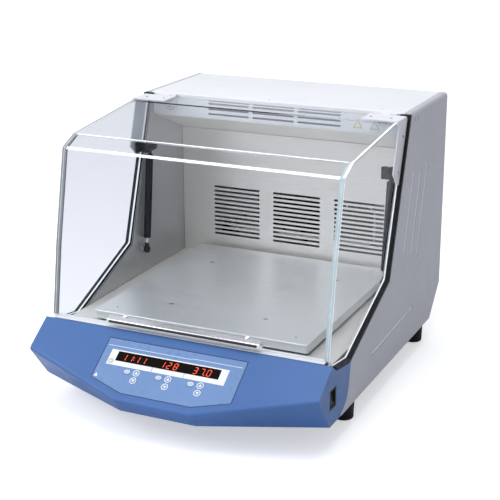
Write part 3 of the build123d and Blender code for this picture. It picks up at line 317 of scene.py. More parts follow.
# material of each slot in the record
LOOKS = {
    "housing_grey": housing_grey,
    "housing_top": housing_top,
    "hinge_sheet": hinge_grey,
    "chamber_sheet": chamber_sheet,
    "tray_sheet": tray_sheet,
    "zinc_sheet": zinc_sheet,
    "blue_plastic": blue_plastic,
    "membrane_blue": membrane_blue,
    "key_blue": key_blue,
    "display_white": display_white,
    "black_plastic": black_plastic,
    "circuit_board": circuit_board,
    "black_rubber": black_rubber,
    "acrylic": acrylic,
    "rail_aluminium": rail_aluminium,
    "strut_black": strut_black,
    "rod_steel": rod_steel,
    "machined_steel": machined_steel,
    "cast_aluminium": cast_aluminium,
    "black_steel": black_steel,
    "screw_steel": screw_steel,
}
SLOT_OF = {row["node"]: row["material_slot"] for row in frame["record"]["subparts"]}
OWN_LOOK = {"chamber_side_walls": side_wall_painted_shade, "strut_brackets": strut_black}

# ---------------------------------------------------------------- CAD pieces
WELD_DISTANCE = 0.00001
SHARP_ANGLE = math.radians(35)

# how far the edges of a CAD node are eased, in millimetres
EASED = {
    "front_sill": 0.3,
    "tray": 0.7,
    "handle_rail": 0.35,
    "hinge_leaves": 0.4,
    "rocker_bezel": 0.5,
    "rocker_switch": 0.5,
    "hood_seals": 1.0,
    "strut_brackets": 0.4,
    "feet": 0.6,
    "mains_inlet": 0.4,
}


def eased(thing, width):
    """Bevel the sharp edges of a piece."""
    ease = thing.modifiers.new("ease", "BEVEL")
    ease.width = width
    ease.segments = 2
    ease.limit_method = "ANGLE"
    ease.angle_limit = SHARP_ANGLE
    return ease


for node, thing in frame["nodes"].items():
    thing.data.materials.clear()
    thing.data.materials.append(OWN_LOOK.get(node, LOOKS[SLOT_OF[node]]))
    if node in EASED:
        weld = thing.modifiers.new("weld", "WELD")
        weld.merge_threshold = WELD_DISTANCE
        eased(thing, EASED[node] * MM)


# ---------------------------------------------------------------- mesh helpers
def piece(name, mesh, material, body, smooth=False):
    """Object from a bmesh, riding on a body."""
    bmesh.ops.recalc_face_normals(mesh, faces=mesh.faces)
    data = bpy.data.meshes.new(name)
    mesh.to_mesh(data)
    mesh.free()
    data.materials.append(material)
    thing = bpy.data.objects.new(name, data)
    bpy.context.scene.collection.objects.link(thing)
    if smooth:
        data.shade_smooth()
        data.set_sharp_from_angle(angle=SHARP_ANGLE)
    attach(thing, body)
    return thing


def prism(mesh, outline, place, low, high):
    """Closed plate with a flat outline between two levels of a placing function."""
    bottom = [mesh.verts.new(place(u, v, low)) for u, v in outline]
    top = [mesh.verts.new(place(u, v, high)) for u, v in outline]
    mesh.faces.new(top)
    mesh.faces.new(bottom[::-1])
    for i in range(len(outline)):
        mesh.faces.new((bottom[i - 1], bottom[i], top[i], top[i - 1]))


def band(mesh, outer, inner, place, low, high):
    """Closed plate between two outlines with the same number of points."""
    rings = [[mesh.verts.new(place(u, v, level)) for u, v in line]
             for line, level in ((outer, low), (outer, high), (inner, high), (inner, low))]
    for first, second in zip(rings, rings[1:] + rings[:1]):
        for i in range(len(outer)):
            mesh.faces.new((first[i - 1], first[i], second[i], second[i - 1]))


def loft(mesh, rings):
    """Closed solid through rings of vertices, with a face over each end."""
    for first, second in zip(rings, rings[1:]):
        for i in range(len(first)):
            mesh.faces.new((first[i - 1], first[i], second[i], second[i - 1]))
    mesh.faces.new(rings[0][::-1])
    mesh.faces.new(rings[-1])


def lathe(mesh, profile, origin, axis, steps=48):
    """Turned solid: profile holds distance along the axis and radius."""
    turn = Vector(axis).normalized().to_track_quat("Z", "Y")
    angles = [2 * math.pi * i / steps for i in range(steps)]
    rings = []
    for along, radius in profile:
        spots = [turn @ Vector((radius * math.cos(a), radius * math.sin(a), along)) for a in angles]
        rings.append([mesh.verts.new(Vector(origin) + spot) for spot in spots])
    loft(mesh, rings)


def circle(x, y, radius, steps=32, squash=1.0):
    """Outline of a circle or an ellipse."""
    return [(x + radius * math.cos(a), y + squash * radius * math.sin(a))
            for a in (2 * math.pi * i / steps for i in range(steps))]


def box_outline(x0, x1, y0, y1):
    """Outline of a rectangle."""
    return [(x0, y0), (x1, y0), (x1, y1), (x0, y1)]


def offset_line(points, distance):
    """Polyline moved to the left of its own direction."""
    corners = [Vector(p) for p in points]
    runs = [(b - a).normalized() for a, b in zip(corners, corners[1:])]
    sides = [Vector((-run.y, run.x)) for run in runs]
    moved = []
    for corner, before, after in zip(corners, sides[:1] + sides, sides + sides[-1:]):
        moved.append(tuple(corner + (before + after) * (distance / (1 + before.dot(after)))))
    return moved


def rounded(points, radius, margin, steps=6):
    """Polyline with its inner corners rounded, and a point a little before and after each arc."""
    line = [Vector(points[0])]
    for before, corner, after in zip(points, points[1:], points[2:]):
        corner = Vector(corner)
        back = (Vector(before) - corner).normalized()
        ahead = (Vector(after) - corner).normalized()
        half = back.angle(ahead) / 2
        centre = corner + (back + ahead).normalized() * (radius / math.sin(half))
        start = corner + back * (radius / math.tan(half)) - centre
        sweep = start.angle_signed(corner + ahead * (radius / math.tan(half)) - centre)
        line.append(centre + start + back * margin)
        for i in range(steps + 1):
            turn = Matrix.Rotation(-sweep * i / steps, 2)
            line.append(centre + turn @ start)
        line.append(line[-1] + ahead * margin)
    line.append(Vector(points[-1]))
    return [tuple(p) for p in line]


def across(y, z, x):
    """Point from a side profile and a place across the cabinet."""
    return Vector((x, y, z))


# ---------------------------------------------------------------- acrylic hood
CLEAR, SHADE, PAINTED_LIT_EDGE, PAINTED_HIGHLIGHT = range(4)      # material slots of the acrylic pieces: clear, painted shade, painted edge light, painted highlight
RIM_WIDTH = 0.0006
FOLD_RADIUS = 0.005
FOLD_MARGIN = 0.0007
FOLD_REACH = 0.007         # faces this near to a fold belong to it
FACET = 0.0015             # and are no longer than this
HEM_TOP = 0.18             # the lower hem lies below this
HEM_SLACK = 0.1 * PANE     # and is as wide as the acrylic, give or take this
FLAT_SIDE = 0.5            # faces whose normal is further across than this are flat sides
TURNED_BACK = 0.3          # and a pane's edge faces back or down when its normal is past this
GLUE = 0.00015             # between the folded sheet and the panes
PAINTED_JOINT_STRIP = 0.0045       # painted shade on the left and painted edge light on the right, on the sheet beside each pane
STRIP_OVERRUN = 0.001      # how far behind the upper fold the strips end
UPPER_FOLD, LOWER_FOLD = HOOD_PROFILE[2:4]
REAR_TOP_Z = HOOD_PROFILE[0][1] - 0.0005

outside = rounded(HOOD_PROFILE, FOLD_RADIUS, FOLD_MARGIN)
inside = offset_line(outside, PANE)
sheet_end = PANE_X - PANE - GLUE
stations = (-sheet_end, -sheet_end + PAINTED_JOINT_STRIP, sheet_end - PAINTED_JOINT_STRIP, sheet_end)


def light_edges(thing, slot_of):
    """Give the painted-light edge materials to the faces that the test picks, and a painted highlight on the
    bevelled rim round them.
    """
    for material in (acrylic_shade, acrylic_painted_edge_light, acrylic_painted_highlight):
        thing.data.materials.append(material)
    for face in thing.data.polygons:
        face.material_index = slot_of(face)
    rim = eased(thing, RIM_WIDTH)
    rim.material = PAINTED_HIGHLIGHT


def sheet_slot(face):
    """Painted shade and painted edge light on the joint strips beside the panes, and painted highlights on
    the hem and on the outer side of the two front folds.
    """
    x, y, z = face.center
    if abs(face.normal.x) > FLAT_SIDE:
        return CLEAR
    if abs(x) > stations[2] and y < UPPER_FOLD[0] + STRIP_OVERRUN:
        return SHADE if x < 0 else PAINTED_LIT_EDGE
    run = face.area / (stations[2] - stations[1])
    hem = abs(run - PANE) < HEM_SLACK and z < HEM_TOP
    to_fold = min((Vector((y, z)) - Vector(fold)).length for fold in (UPPER_FOLD, LOWER_FOLD))
    folded = to_fold < FOLD_REACH and run < FACET and face.normal.z > 0
    return PAINTED_HIGHLIGHT if hem or folded else CLEAR


def pane_slot(face):
    """Painted shade in grey on the edges on the left; on the right, painted bluish edge light on the front
    edges and painted highlights on the top edges; painted highlights on the rear edges.
    """
    x, y, z = face.center
    if abs(face.normal.x) > FLAT_SIDE:
        return CLEAR
    if face.normal.y > TURNED_BACK or face.normal.z < -TURNED_BACK:
        return PAINTED_HIGHLIGHT
    if x < 0:
        return SHADE
    return PAINTED_HIGHLIGHT if z > LOWER_FOLD[1] else PAINTED_LIT_EDGE


mesh = bmesh.new()
section = outside + inside[::-1]
loft(mesh, [[mesh.verts.new((x, y, z)) for y, z in section] for x in stations])
sheet = piece("folded_sheet", mesh, acrylic, "hood", smooth=True)
light_edges(sheet, sheet_slot)
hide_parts("hood_sheet")

rear_edge = offset_line(CABINET_EDGE, EDGE_GAP)
bend, tip = rear_edge[-2:]
share = (REAR_TOP_Z - bend[1]) / (tip[1] - bend[1])
rear_edge[-1] = tuple(Vector(bend).lerp(Vector(tip), share))
mesh = bmesh.new()
for side in (-1, 1):
    prism(mesh, outside + rear_edge, across, side * (PANE_X - PANE), side * PANE_X)
panes = piece("side_panes", mesh, acrylic, "hood", smooth=True)
light_edges(panes, pane_slot)
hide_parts("hood_side_panes")

# ---------------------------------------------------------------- gas struts
STRUT_LOW = Vector((0, 0.080, 0.195))       # on the chamber wall
STRUT_HIGH = Vector((0, 0.106, 0.414))      # on the hood's bracket
STRUT_X = 0.262
STRUT_AXIS = STRUT_HIGH - STRUT_LOW
STRUT_LENGTH = STRUT_AXIS.length
TUBE_RADIUS = 0.00775
TUBE_START = 0.0245
TUBE_END = STRUT_LENGTH - 0.020
NECK_RADIUS = 0.0040
BAR_RADIUS = 0.0030

# distance from the lower stud, and radius
BAR_PROFILE = [(0.0125, BAR_RADIUS), (0.030, BAR_RADIUS)]
TUBE_PROFILE = [
    (TUBE_START, 0.0032),
    (TUBE_START, 0.0058),
    (TUBE_START + 0.0022, TUBE_RADIUS),
    (TUBE_END - 0.002, TUBE_RADIUS),
    (TUBE_END, 0.0062),
    (TUBE_END + 0.001, NECK_RADIUS),
    (STRUT_LENGTH - 0.0085, NECK_RADIUS),
    (STRUT_LENGTH - 0.0065, 0.0062),
    (STRUT_LENGTH + 0.003, 0.0066),
    (STRUT_LENGTH + 0.0062, 0.0052),
    (STRUT_LENGTH + 0.0078, 0.0024),
]
SOCKET_PROFILE = [
    (-0.0078, 0.0026),
    (-0.0062, 0.0056),
    (-0.003, 0.0072),
    (0.003, 0.0072),
    (0.0062, 0.0058),
    (0.0085, 0.0046),
    (0.0135, 0.0046),
    (0.014, NECK_RADIUS),
]


def turned_piece(name, profile, origin, axis, material, body, steps=48):
    """Piece of one turned solid."""
    mesh = bmesh.new()
    lathe(mesh, profile, origin, axis, steps)
    return piece(name, mesh, material, body, smooth=True)


for side, label in ((-1, "left"), (1, "right")):
    stud = STRUT_LOW + Vector((side * STRUT_X, 0, 0))
    cylinder, rod = f"{label}_strut_cylinder", f"{label}_strut_rod"
    tube = turned_piece(
        f"{label}_strut_tube", TUBE_PROFILE, stud, STRUT_AXIS, strut_black, cylinder)
    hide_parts(f"{label}_strut_cylinder")
    turned_piece(
        f"{label}_strut_bar", BAR_PROFILE, stud, STRUT_AXIS, rod_steel, rod, steps=32)
    socket = turned_piece(
        f"{label}_strut_socket", SOCKET_PROFILE, stud, STRUT_AXIS, black_plastic, rod)
    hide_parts(f"{label}_strut_rod")

# ---------------------------------------------------------------- small fittings
SCREW_STEPS = 28
SCREW_SEAT = 0.0003        # screw heads start this far under the face
SIDE_SCREW = {"radius": 0.0036, "height": 0.0019}
TOP_SCREW = {"radius": 0.0032, "height": 0.0016}
LEAF_FACE_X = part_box("hinge_leaves")[1].x
LEAF_FLAT_Z = 0.5167
LEAF_SIDE_SCREWS = [(0.107, 0.482), (0.085, 0.417)]         # Y, Z
LEAF_TOP_SCREWS = [(0.222, 0.098), (0.262, 0.098)]          # X, Y


def button_screw(mesh, place, axis, radius, height):
    """Domed screw head with a round recess for the driver."""
    profile = [
        (0, radius * 0.96),
        (height * 0.25, radius),
        (height * 0.65, radius * 0.86),
        (height, radius * 0.5),
        (height * 0.98, radius * 0.40),
        (height * 0.45, radius * 0.36),
    ]
    lathe(mesh, profile, place, axis, SCREW_STEPS)


mesh = bmesh.new()
for side in (-1, 1):
    for y, z in LEAF_SIDE_SCREWS:
        button_screw(mesh, (side * (LEAF_FACE_X - SCREW_SEAT), y, z), (side, 0, 0), **SIDE_SCREW)
piece("leaf_screws", mesh, screw_steel, "hood", smooth=True)

mesh = bmesh.new()
for side in (-1, 1):
    for x, y in LEAF_TOP_SCREWS:
        button_screw(mesh, (side * x, y, LEAF_FLAT_Z - SCREW_SEAT), (0, 0, 1), **TOP_SCREW)
piece("leaf_top_screws", mesh, screw_steel, "hood", smooth=True)

# cap nuts on the handle rail
RAIL_NUT_X = 0.124
RAIL_NUT_BEHIND = 0.0008   # behind the back of the rail
RAIL_NUT_SINK = 0.0005     # under its top
RAIL_NUT_AXIS = (0, -0.5, 1)
RAIL_NUT_PROFILE = [(-0.0005, 0.0040), (0.0016, 0.0042), (0.0032, 0.0036), (0.0042, 0.0016)]
mesh = bmesh.new()
for side in (-1, 1):
    place = (side * RAIL_NUT_X, RAIL_HIGH.y + RAIL_NUT_BEHIND, RAIL_HIGH.z - RAIL_NUT_SINK)
    lathe(mesh, RAIL_NUT_PROFILE, place, RAIL_NUT_AXIS, SCREW_STEPS)
piece("rail_cap_nuts", mesh, rail_aluminium, "hood", smooth=True)

# dark ribbed strip let into the front of the handle's lip: painted shade for the rail's shaded front
SHADE_STRIP_TOP = Vector((-0.26185, 0.1745))       # Y, Z
SHADE_STRIP_FOOT = Vector((-0.26215, 0.1697))
SHADE_STRIP_HALF = 0.150
SHADE_STRIP_RIBS = 4
RIB_HEIGHT, GROOVE_HEIGHT = 0.0008, 0.0004
mesh = bmesh.new()
outline = [tuple(SHADE_STRIP_TOP), tuple(SHADE_STRIP_FOOT)]
for i in range(2 * SHADE_STRIP_RIBS + 1):
    place = SHADE_STRIP_FOOT.lerp(SHADE_STRIP_TOP, i / (2 * SHADE_STRIP_RIBS))
    outline.append((place.x - (RIB_HEIGHT if i % 2 else GROOVE_HEIGHT), place.y))
prism(mesh, outline, across, -SHADE_STRIP_HALF, SHADE_STRIP_HALF)
piece("rail_shade_strip", mesh, rail_painted_shade, "hood")

# plug in the port of the vent panel: distance out of the panel, and radius
PORT = Vector((-0.234, VENT_FACE_Y, 0.4935))
PORT_PROFILE = [
    (-0.008, 0.0072),
    (0.0, 0.0076),
    (0.0002, 0.0100),
    (0.0014, 0.0104),
    (0.0026, 0.0096),
    (0.0030, 0.0078),
    (0.0018, 0.0070),
    (0.0016, 0.0034),
    (0.0024, 0.0026),
]
turned_piece("port_plug", PORT_PROFILE, PORT, (0, -1, 0), port_white, "housing")

# ---------------------------------------------------------------- ribs in the side panels' pressed beads
BEAD_DEPTH = 0.0006
RIDGE_HALF = 0.0016
RIDGE_SINK = 0.0001        # ribs stay this far under the panel's face
RIDGE_STEPS = 8
TAPER_START, TAPER_END, TAPER = 0.001, 0.006, 0.2
BEADS = [                  # Y, Z of the upper or front end, then of the other end
    ((0.166, 0.407), (0.119, 0.243)),
    ((0.209, 0.395), (0.165, 0.229)),
    ((0.251, 0.404), (0.205, 0.217)),
    ((-0.053, 0.103), (0.186, 0.114)),
]


def ridge(mesh, side, start, end):
    """Rounded rib along a pressed bead, with tapering ends, on the left (-1) or right (1) panel."""
    start, end = Vector(start), Vector(end)
    run = (end - start).normalized()
    sideways = Vector((-run.y, run.x))
    stops = [
        (start + run * TAPER_START, TAPER),
        (start + run * TAPER_END, 1.0),
        (end - run * TAPER_END, 1.0),
        (end - run * TAPER_START, TAPER),
    ]
    rings = []
    for along, size in stops:
        ring = []
        for i in range(RIDGE_STEPS + 1):
            angle = math.pi * i / RIDGE_STEPS
            place = along + sideways * (RIDGE_HALF * size * math.cos(angle))
            rise = BEAD_DEPTH * size * math.sin(angle)
            face_x = PANEL_FACE_X - BEAD_DEPTH - RIDGE_SINK + rise
            ring.append(mesh.verts.new((side * face_x, place.x, place.y)))
        rings.append(ring)
    loft(mesh, rings)


mesh = bmesh.new()
for start, end in BEADS:
    for side in (-1, 1):
        ridge(mesh, side, start, end)
# the ribs are real, their lighter coat is a painted highlight
piece("bead_ridges", mesh, ridge_painted_highlight, "housing", smooth=True)


# ---------------------------------------------------------------- vent panel and back vents
def on_vent(x, z, lift):
    """Point on the front of the vent panel, lifts in metres."""
    return Vector((x, VENT_FACE_Y - lift, z))


PRINT_LEVELS = (-0.0001, 0.0002)        # from under the surface to over it
FLANGE_RING = (0.0122, 0.0103)          # outer and inner radius
KNOB_RING = (0.0066, 0.0050)
KNOB_RING_LEVELS = (0.0010, 0.0021)
mesh = bmesh.new()
for (outer, inner), levels in ((FLANGE_RING, PRINT_LEVELS), (KNOB_RING, KNOB_RING_LEVELS)):
    band(mesh, circle(PORT.x, PORT.z, outer), circle(PORT.x, PORT.z, inner), on_vent, *levels)
piece("port_rings", mesh, grey_ink, "housing")

# baffle that backs the slots of the vent panel
BAFFLE = box_outline(-0.166, 0.166, 0.4735, 0.5075)
BAFFLE_GAP = 0.0042
BAFFLE_SHEET = 0.001
mesh = bmesh.new()
prism(mesh, BAFFLE, on_vent, -BAFFLE_GAP - BAFFLE_SHEET, -BAFFLE_GAP)
piece("vent_baffle", mesh, vent_backing, "housing")

# dust filter behind the back panel's vents, cut out round the fan motor and the bar it is fastened by
MOTOR_LOW, MOTOR_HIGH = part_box("fan_motor")
MOTOR_Z = (MOTOR_LOW.z + MOTOR_HIGH.z) / 2
MOTOR_HALF = (MOTOR_HIGH.z - MOTOR_LOW.z) / 2
MOTOR_BAR_HALF = 0.013
MAT = box_outline(-0.137, 0.137, 0.188, 0.312)
MAT_FRONT, MAT_BACK = 0.3695, 0.3732    # Y
MAT_CLEARANCE = 0.0015
PATCH_SINK = 0.0002        # the patches over and under the bar are this much thinner on each side


def behind_vents(x, z, y):
    """Point in the filter mat."""
    return Vector((x, y, z))


def grown_box(low, high, amount):
    """Outline in X and Z of a box, let out by an amount on every side."""
    return box_outline(low.x - amount, high.x + amount, low.z - amount, high.z + amount)


mesh = bmesh.new()
band(mesh, MAT, grown_box(MOTOR_LOW, MOTOR_HIGH, MAT_CLEARANCE), behind_vents, MAT_FRONT, MAT_BACK)
near, far = MOTOR_HALF + MAT_CLEARANCE, MOTOR_HIGH.x + 2 * MAT_CLEARANCE
low, high = MOTOR_BAR_HALF + MAT_CLEARANCE, MOTOR_HALF + 2 * MAT_CLEARANCE
for side in (-1, 1):
    for way in (-1, 1):
        patch = box_outline(side * near, side * far, MOTOR_Z + way * low, MOTOR_Z + way * high)
        prism(mesh, patch, behind_vents, MAT_FRONT + PATCH_SINK, MAT_BACK - PATCH_SINK)
piece("filter_mat", mesh, filter_foam, "housing")

# two printed triangles with nothing in them
TRIANGLES = [(0.180, 0.4885), (0.215, 0.4880)]
TRIANGLE_OUTER = {"half": 0.0105, "below": 0.0090, "above": 0.0100}
TRIANGLE_INNER = {"half": 0.0068, "below": 0.0068, "above": 0.0058}


def triangle(x, z, half, below, above):
    """Outline of an upright triangle round a place."""
    return [(x - half, z - below), (x + half, z - below), (x, z + above)]


mesh = bmesh.new()
for x, z in TRIANGLES:
    band(mesh, triangle(x, z, **TRIANGLE_OUTER), triangle(x, z, **TRIANGLE_INNER), on_vent, *PRINT_LEVELS)
piece("blank_triangles", mesh, yellow_ink, "housing")

# ---------------------------------------------------------------- operating panel
# millimetres across, down the slope and off the surface, as on_slope takes them
INK = 0.12
THIN_LEVELS = (-0.1, 0.1)
INK_LEVELS = (-0.1, INK)
DEEP_INK_LEVELS = (-0.2, INK)
FILTER_LEVELS = (-0.2, 0.15)
MEMBRANE_RIGHT = [(140, 20), (140, 106.6), (70, 129)]
BORDER = 1.1


def mirrored(points):
    """Closed outline from its right half, top to bottom."""
    return points + [(-x, down) for x, down in reversed(points)]


def shrunk(points, amount):
    """The panel outline drawn in by an amount on every side."""
    (x0, down0), (x1, down1), (x2, down2) = points
    return [
        (x0 - amount, down0 + amount),
        (x1 - amount, down1 - amount / 2),
        (x2 - amount / 4, down2 - amount),
    ]


mesh = bmesh.new()
band(mesh, mirrored(MEMBRANE_RIGHT), mirrored(shrunk(MEMBRANE_RIGHT, BORDER)), on_slope, *THIN_LEVELS)
piece("membrane_border", mesh, dark_ink, "housing")

# line over the display, stepping up on the right: its upper edge
LINE_WIDTH = 0.9
LINE = [(-135.5, 35.2), (34, 35.2), (38, 33.6), (134.5, 33.6)]
mesh = bmesh.new()
for (x0, down0), (x1, down1) in zip(LINE, LINE[1:]):
    stretch = [(x0, down0), (x1, down1), (x1, down1 + LINE_WIDTH), (x0, down0 + LINE_WIDTH)]
    prism(mesh, stretch, on_slope, *INK_LEVELS)
piece("panel_line", mesh, white_ink, "housing")

WINDOW = box_outline(-109.0, 98.5, 45.6, 65.7)
mesh = bmesh.new()
prism(mesh, WINDOW, on_slope, *FILTER_LEVELS)
piece("display_filter", mesh, filter_black, "housing")

# two short lines between the three readouts, and a ring at the end of the white frame
DIVIDER_X = (-31.0, 33.0)
DIVIDER_HALF = 0.45
DIVIDER_TOP, DIVIDER_FOOT = 66.6, 75.5
mesh = bmesh.new()
for x in DIVIDER_X:
    divider = box_outline(x - DIVIDER_HALF, x + DIVIDER_HALF, DIVIDER_TOP, DIVIDER_FOOT)
    prism(mesh, divider, on_slope, *DEEP_INK_LEVELS)
piece("frame_dividers", mesh, grey_ink, "housing")

RING_PLACE = (-117.0, 68.0)
RING_RADII = [(5.2, 4.3), (2.9, 2.2)]
mesh = bmesh.new()
for outer, inner in RING_RADII:
    band(mesh, circle(*RING_PLACE, outer), circle(*RING_PLACE, inner), on_slope, *DEEP_INK_LEVELS)
piece("frame_ring", mesh, grey_ink, "housing")

PANEL_TRIANGLE = [(-132.6, 96.5), (-128.6, 104.0), (-136.6, 104.0)]
mesh = bmesh.new()
prism(mesh, PANEL_TRIANGLE, on_slope, *INK_LEVELS)
piece("panel_triangle", mesh, white_ink, "housing")

# ---------------------------------------------------------------- lit digits
# ends of each segment as columns and half heights of the digit, and the segments of each figure
SEGMENT_ENDS = {
    "a": ((0, 0), (1, 0)),
    "b": ((1, 0), (1, 1)),
    "c": ((1, 1), (1, 2)),
    "d": ((0, 2), (1, 2)),
    "e": ((0, 1), (0, 2)),
    "f": ((0, 0), (0, 1)),
    "g": ((0, 1), (1, 1)),
}
SEGMENTS = {"0": "abcdef", "1": "bc", "2": "abdeg", "3": "abcdg", "7": "abc", "8": "abcdefg"}
DIGIT_WIDTH, DIGIT_HEIGHT, DIGIT_PITCH = 6.6, 12.4, 13.2
DIGIT_TOP = 50.2
LEAN = 0.12                # sideways over upwards
STROKE = 1.15
STROKE_GAP = 0.35          # from a segment's tip to the digit's corner
LIT_LEVELS = (0.1, 0.22)
DOT_STEPS = 12
READINGS = [("timer", "1111", -97.0), ("speed", "128", -19.0), ("heat", "370", 47.0)]
DOTS = {                   # across from the left of the reading, down from the digits' top, radius
    "timer": [(23.6, 4.2, 0.8), (23.6, 8.4, 0.8)],
    "speed": [],
    "heat": [(22.4, 12.2, 0.9)],
}


def lit_bar(mesh, start, end):
    """One lit segment with pointed ends, between two corners of the digit."""
    start, end = Vector(start), Vector(end)
    run = (end - start).normalized()
    side = Vector((-run.y, run.x)) * (STROKE / 2)
    tip = run * (STROKE / 2)
    a = start + run * STROKE_GAP
    b = end - run * STROKE_GAP
    outline = [a, a + tip + side, b - tip + side, b, b - tip - side, a + tip - side]
    prism(mesh, [tuple(point) for point in outline], on_slope, *LIT_LEVELS)


def show_digit(mesh, sign, left, top):
    """Leaning seven-segment digit with its upper left corner at the given place."""
    half = DIGIT_HEIGHT / 2
    for segment in SEGMENTS[sign]:
        corners = [(left + column * DIGIT_WIDTH + (2 - row) * LEAN * half, top + row * half)
                   for column, row in SEGMENT_ENDS[segment]]
        lit_bar(mesh, *corners)


for label, signs, left in READINGS:
    mesh = bmesh.new()
    for i, sign in enumerate(signs):
        show_digit(mesh, sign, left + i * DIGIT_PITCH, DIGIT_TOP)
    for x, down, radius in DOTS[label]:
        prism(mesh, circle(left + x, DIGIT_TOP + down, radius, DOT_STEPS), on_slope, *LIT_LEVELS)
    piece(f"{label}_digits", mesh, lit_red, "housing")

# ---------------------------------------------------------------- marks on the keys
KEY_COLUMNS = [("timer", -66.0), ("speed", -2.0), ("heat", 62.0)]
KEY_SPOTS = [("mode", -9.5, 84.0), ("up", 9.5, 84.0), ("down", 9.5, 99.5)]
CAP_LIFT = 0.4             # key caps over the membrane
MARK_LEVELS = (CAP_LIFT - 0.1, CAP_LIFT + INK)
MODE_OUTER = {"radius": 5.8, "squash": 0.66}
MODE_INNER = {"radius": 4.3, "squash": 0.50}
DASH_HALF_LENGTH, DASH_HALF_WIDTH = 2.6, 0.7
ARROW_OUTER, ARROW_INNER = 6.6, 5.1
ARROW_TIP, ARROW_HALF, ARROW_BASE = 3.6, 3.3, 2.3


def mode_mark(mesh, x, down):
    """Flat oval round a dash."""
    band(mesh, circle(x, down, **MODE_OUTER), circle(x, down, **MODE_INNER), on_slope, *MARK_LEVELS)
    left, right = x - DASH_HALF_LENGTH, x + DASH_HALF_LENGTH
    dash = box_outline(left, right, down - DASH_HALF_WIDTH, down + DASH_HALF_WIDTH)
    prism(mesh, dash, on_slope, *MARK_LEVELS)


def arrow_mark(mesh, x, down, way):
    """Ring round an arrow head that points up the slope (1) or down it (-1)."""
    band(mesh, circle(x, down, ARROW_OUTER), circle(x, down, ARROW_INNER), on_slope, *MARK_LEVELS)
    base = down + ARROW_BASE * way
    arrow = [(x, down - ARROW_TIP * way), (x + ARROW_HALF, base), (x - ARROW_HALF, base)]
    prism(mesh, arrow, on_slope, *MARK_LEVELS)


for group, column in KEY_COLUMNS:
    for use, offset, down in KEY_SPOTS:
        mesh = bmesh.new()
        if use == "mode":
            mode_mark(mesh, column + offset, down)
        else:
            arrow_mark(mesh, column + offset, down, 1 if use == "up" else -1)
        key = f"{group}_{use}_key"
        piece(f"{key}_mark", mesh, white_ink, key)

# ---------------------------------------------------------------- floor
FLOOR_REACH = 30.0
FLOOR_COLOUR = (0.80, 0.805, 0.82)
FLOOR_GLOW = 0.62          # lifts the floor to white in the picture without lighting the object
THROUGH_PANES = 0.65       # share of it that is seen through the acrylic


def floor_paint():
    """Matt pale paint that glows for the camera, and less through the acrylic, but lights nothing."""
    material, tree, shader = new_material("floor_paint", FLOOR_COLOUR, roughness=0.8)
    shader.inputs["Emission Color"].default_value = (*FLOOR_COLOUR, 1)
    rays = tree.nodes.new("ShaderNodeLightPath")
    seen = tree.nodes.new("ShaderNodeMath")
    seen.operation = "MULTIPLY_ADD"
    seen.inputs[1].default_value = THROUGH_PANES
    glow = tree.nodes.new("ShaderNodeMapRange")
    glow.inputs["To Max"].default_value = FLOOR_GLOW
    tree.links.new(rays.outputs["Is Transmission Ray"], seen.inputs[0])
    tree.links.new(rays.outputs["Is Camera Ray"], seen.inputs[2])
    tree.links.new(seen.outputs["Value"], glow.inputs["Value"])
    tree.links.new(glow.outputs["Result"], shader.inputs["Emission Strength"])
    vary_colour(tree, shader, FLOOR_COLOUR, 0.01, noise(tree, scale=2))
    return material


mesh = bmesh.new()
corners = box_outline(-FLOOR_REACH, FLOOR_REACH, -FLOOR_REACH, FLOOR_REACH)
mesh.faces.new([mesh.verts.new((x, y, 0)) for x, y in corners])
floor_data = bpy.data.meshes.new("floor")
mesh.to_mesh(floor_data)
mesh.free()
floor_data.materials.append(floor_paint())
floor = bpy.data.objects.new("floor", floor_data)
bpy.context.scene.collection.objects.link(floor)

# ---------------------------------------------------------------- room and lamps
ROOM_COLOUR = (0.95, 0.97, 1.0)
LEFT_STRENGTH, RIGHT_STRENGTH = 1.15, 0.28      # the room is darker on the object's right
SEEN_STRENGTH = 1.0                             # but the same all round for the camera
CENTRE = (LOW + HIGH) / 2


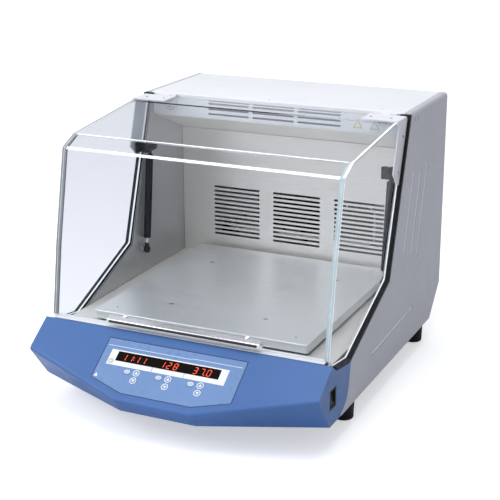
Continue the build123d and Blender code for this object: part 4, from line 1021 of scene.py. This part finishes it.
def studio_room():
    """World whose light falls off towards the right."""
    world = bpy.data.worlds.new("studio")
    world.use_nodes = True
    tree = world.node_tree
    background = tree.nodes["Background"]
    background.inputs["Color"].default_value = (*ROOM_COLOUR, 1)
    direction = tree.nodes.new("ShaderNodeTexCoord")
    parts = tree.nodes.new("ShaderNodeSeparateXYZ")
    rays = tree.nodes.new("ShaderNodeLightPath")
    seen = tree.nodes.new("ShaderNodeMix")
    seen.inputs["B"].default_value = SEEN_STRENGTH
    dimmer = tree.nodes.new("ShaderNodeMapRange")
    dimmer.inputs["From Min"].default_value = -1.0
    dimmer.inputs["To Min"].default_value = LEFT_STRENGTH
    dimmer.inputs["To Max"].default_value = RIGHT_STRENGTH
    tree.links.new(direction.outputs["Generated"], parts.inputs["Vector"])
    tree.links.new(parts.outputs["X"], dimmer.inputs["Value"])
    tree.links.new(rays.outputs["Is Camera Ray"], seen.inputs["Factor"])
    tree.links.new(dimmer.outputs["Result"], seen.inputs["A"])
    tree.links.new(seen.outputs["Result"], background.inputs["Strength"])
    return world


def softbox(name, place, size, power):
    """Square area light aimed at the middle of the object."""
    data = bpy.data.lights.new(name, "AREA")
    data.size = size
    data.energy = power
    light = bpy.data.objects.new(name, data)
    light.location = place
    light.rotation_mode = "QUATERNION"
    light.rotation_quaternion = (CENTRE - Vector(place)).to_track_quat("-Z", "Y")
    bpy.context.scene.collection.objects.link(light)


bpy.context.scene.world = studio_room()
softbox("key_light", place=(0.22, -0.50, 2.3), size=1.1, power=17)
softbox("left_light", place=(-1.9, -1.5, 2.0), size=1.5, power=22)

# ---------------------------------------------------------------- camera, fitted to the cabinet's edges
CAMERA_PLACE = (0.9852, -2.0732, 1.0014)
CAMERA_AZIMUTH = math.radians(25.07)
CAMERA_ELEVATION = math.radians(18.09)
CAMERA_ROLL = math.radians(-0.25)
LENS, SENSOR_WIDTH = 88.88, 36.0
ahead = Vector((-math.sin(CAMERA_AZIMUTH) * math.cos(CAMERA_ELEVATION),
                math.cos(CAMERA_AZIMUTH) * math.cos(CAMERA_ELEVATION), -math.sin(CAMERA_ELEVATION)))
camera_data = bpy.data.cameras.new("camera")
camera_data.lens = LENS
camera_data.sensor_width = SENSOR_WIDTH
camera = bpy.data.objects.new("camera", camera_data)
camera.location = CAMERA_PLACE
camera.rotation_mode = "QUATERNION"
camera.rotation_quaternion = ahead.to_track_quat("-Z", "Y") @ Quaternion((0, 0, 1), CAMERA_ROLL)
bpy.context.scene.collection.objects.link(camera)
bpy.context.scene.camera = camera
bpy.context.scene.view_settings.view_transform = "Standard"
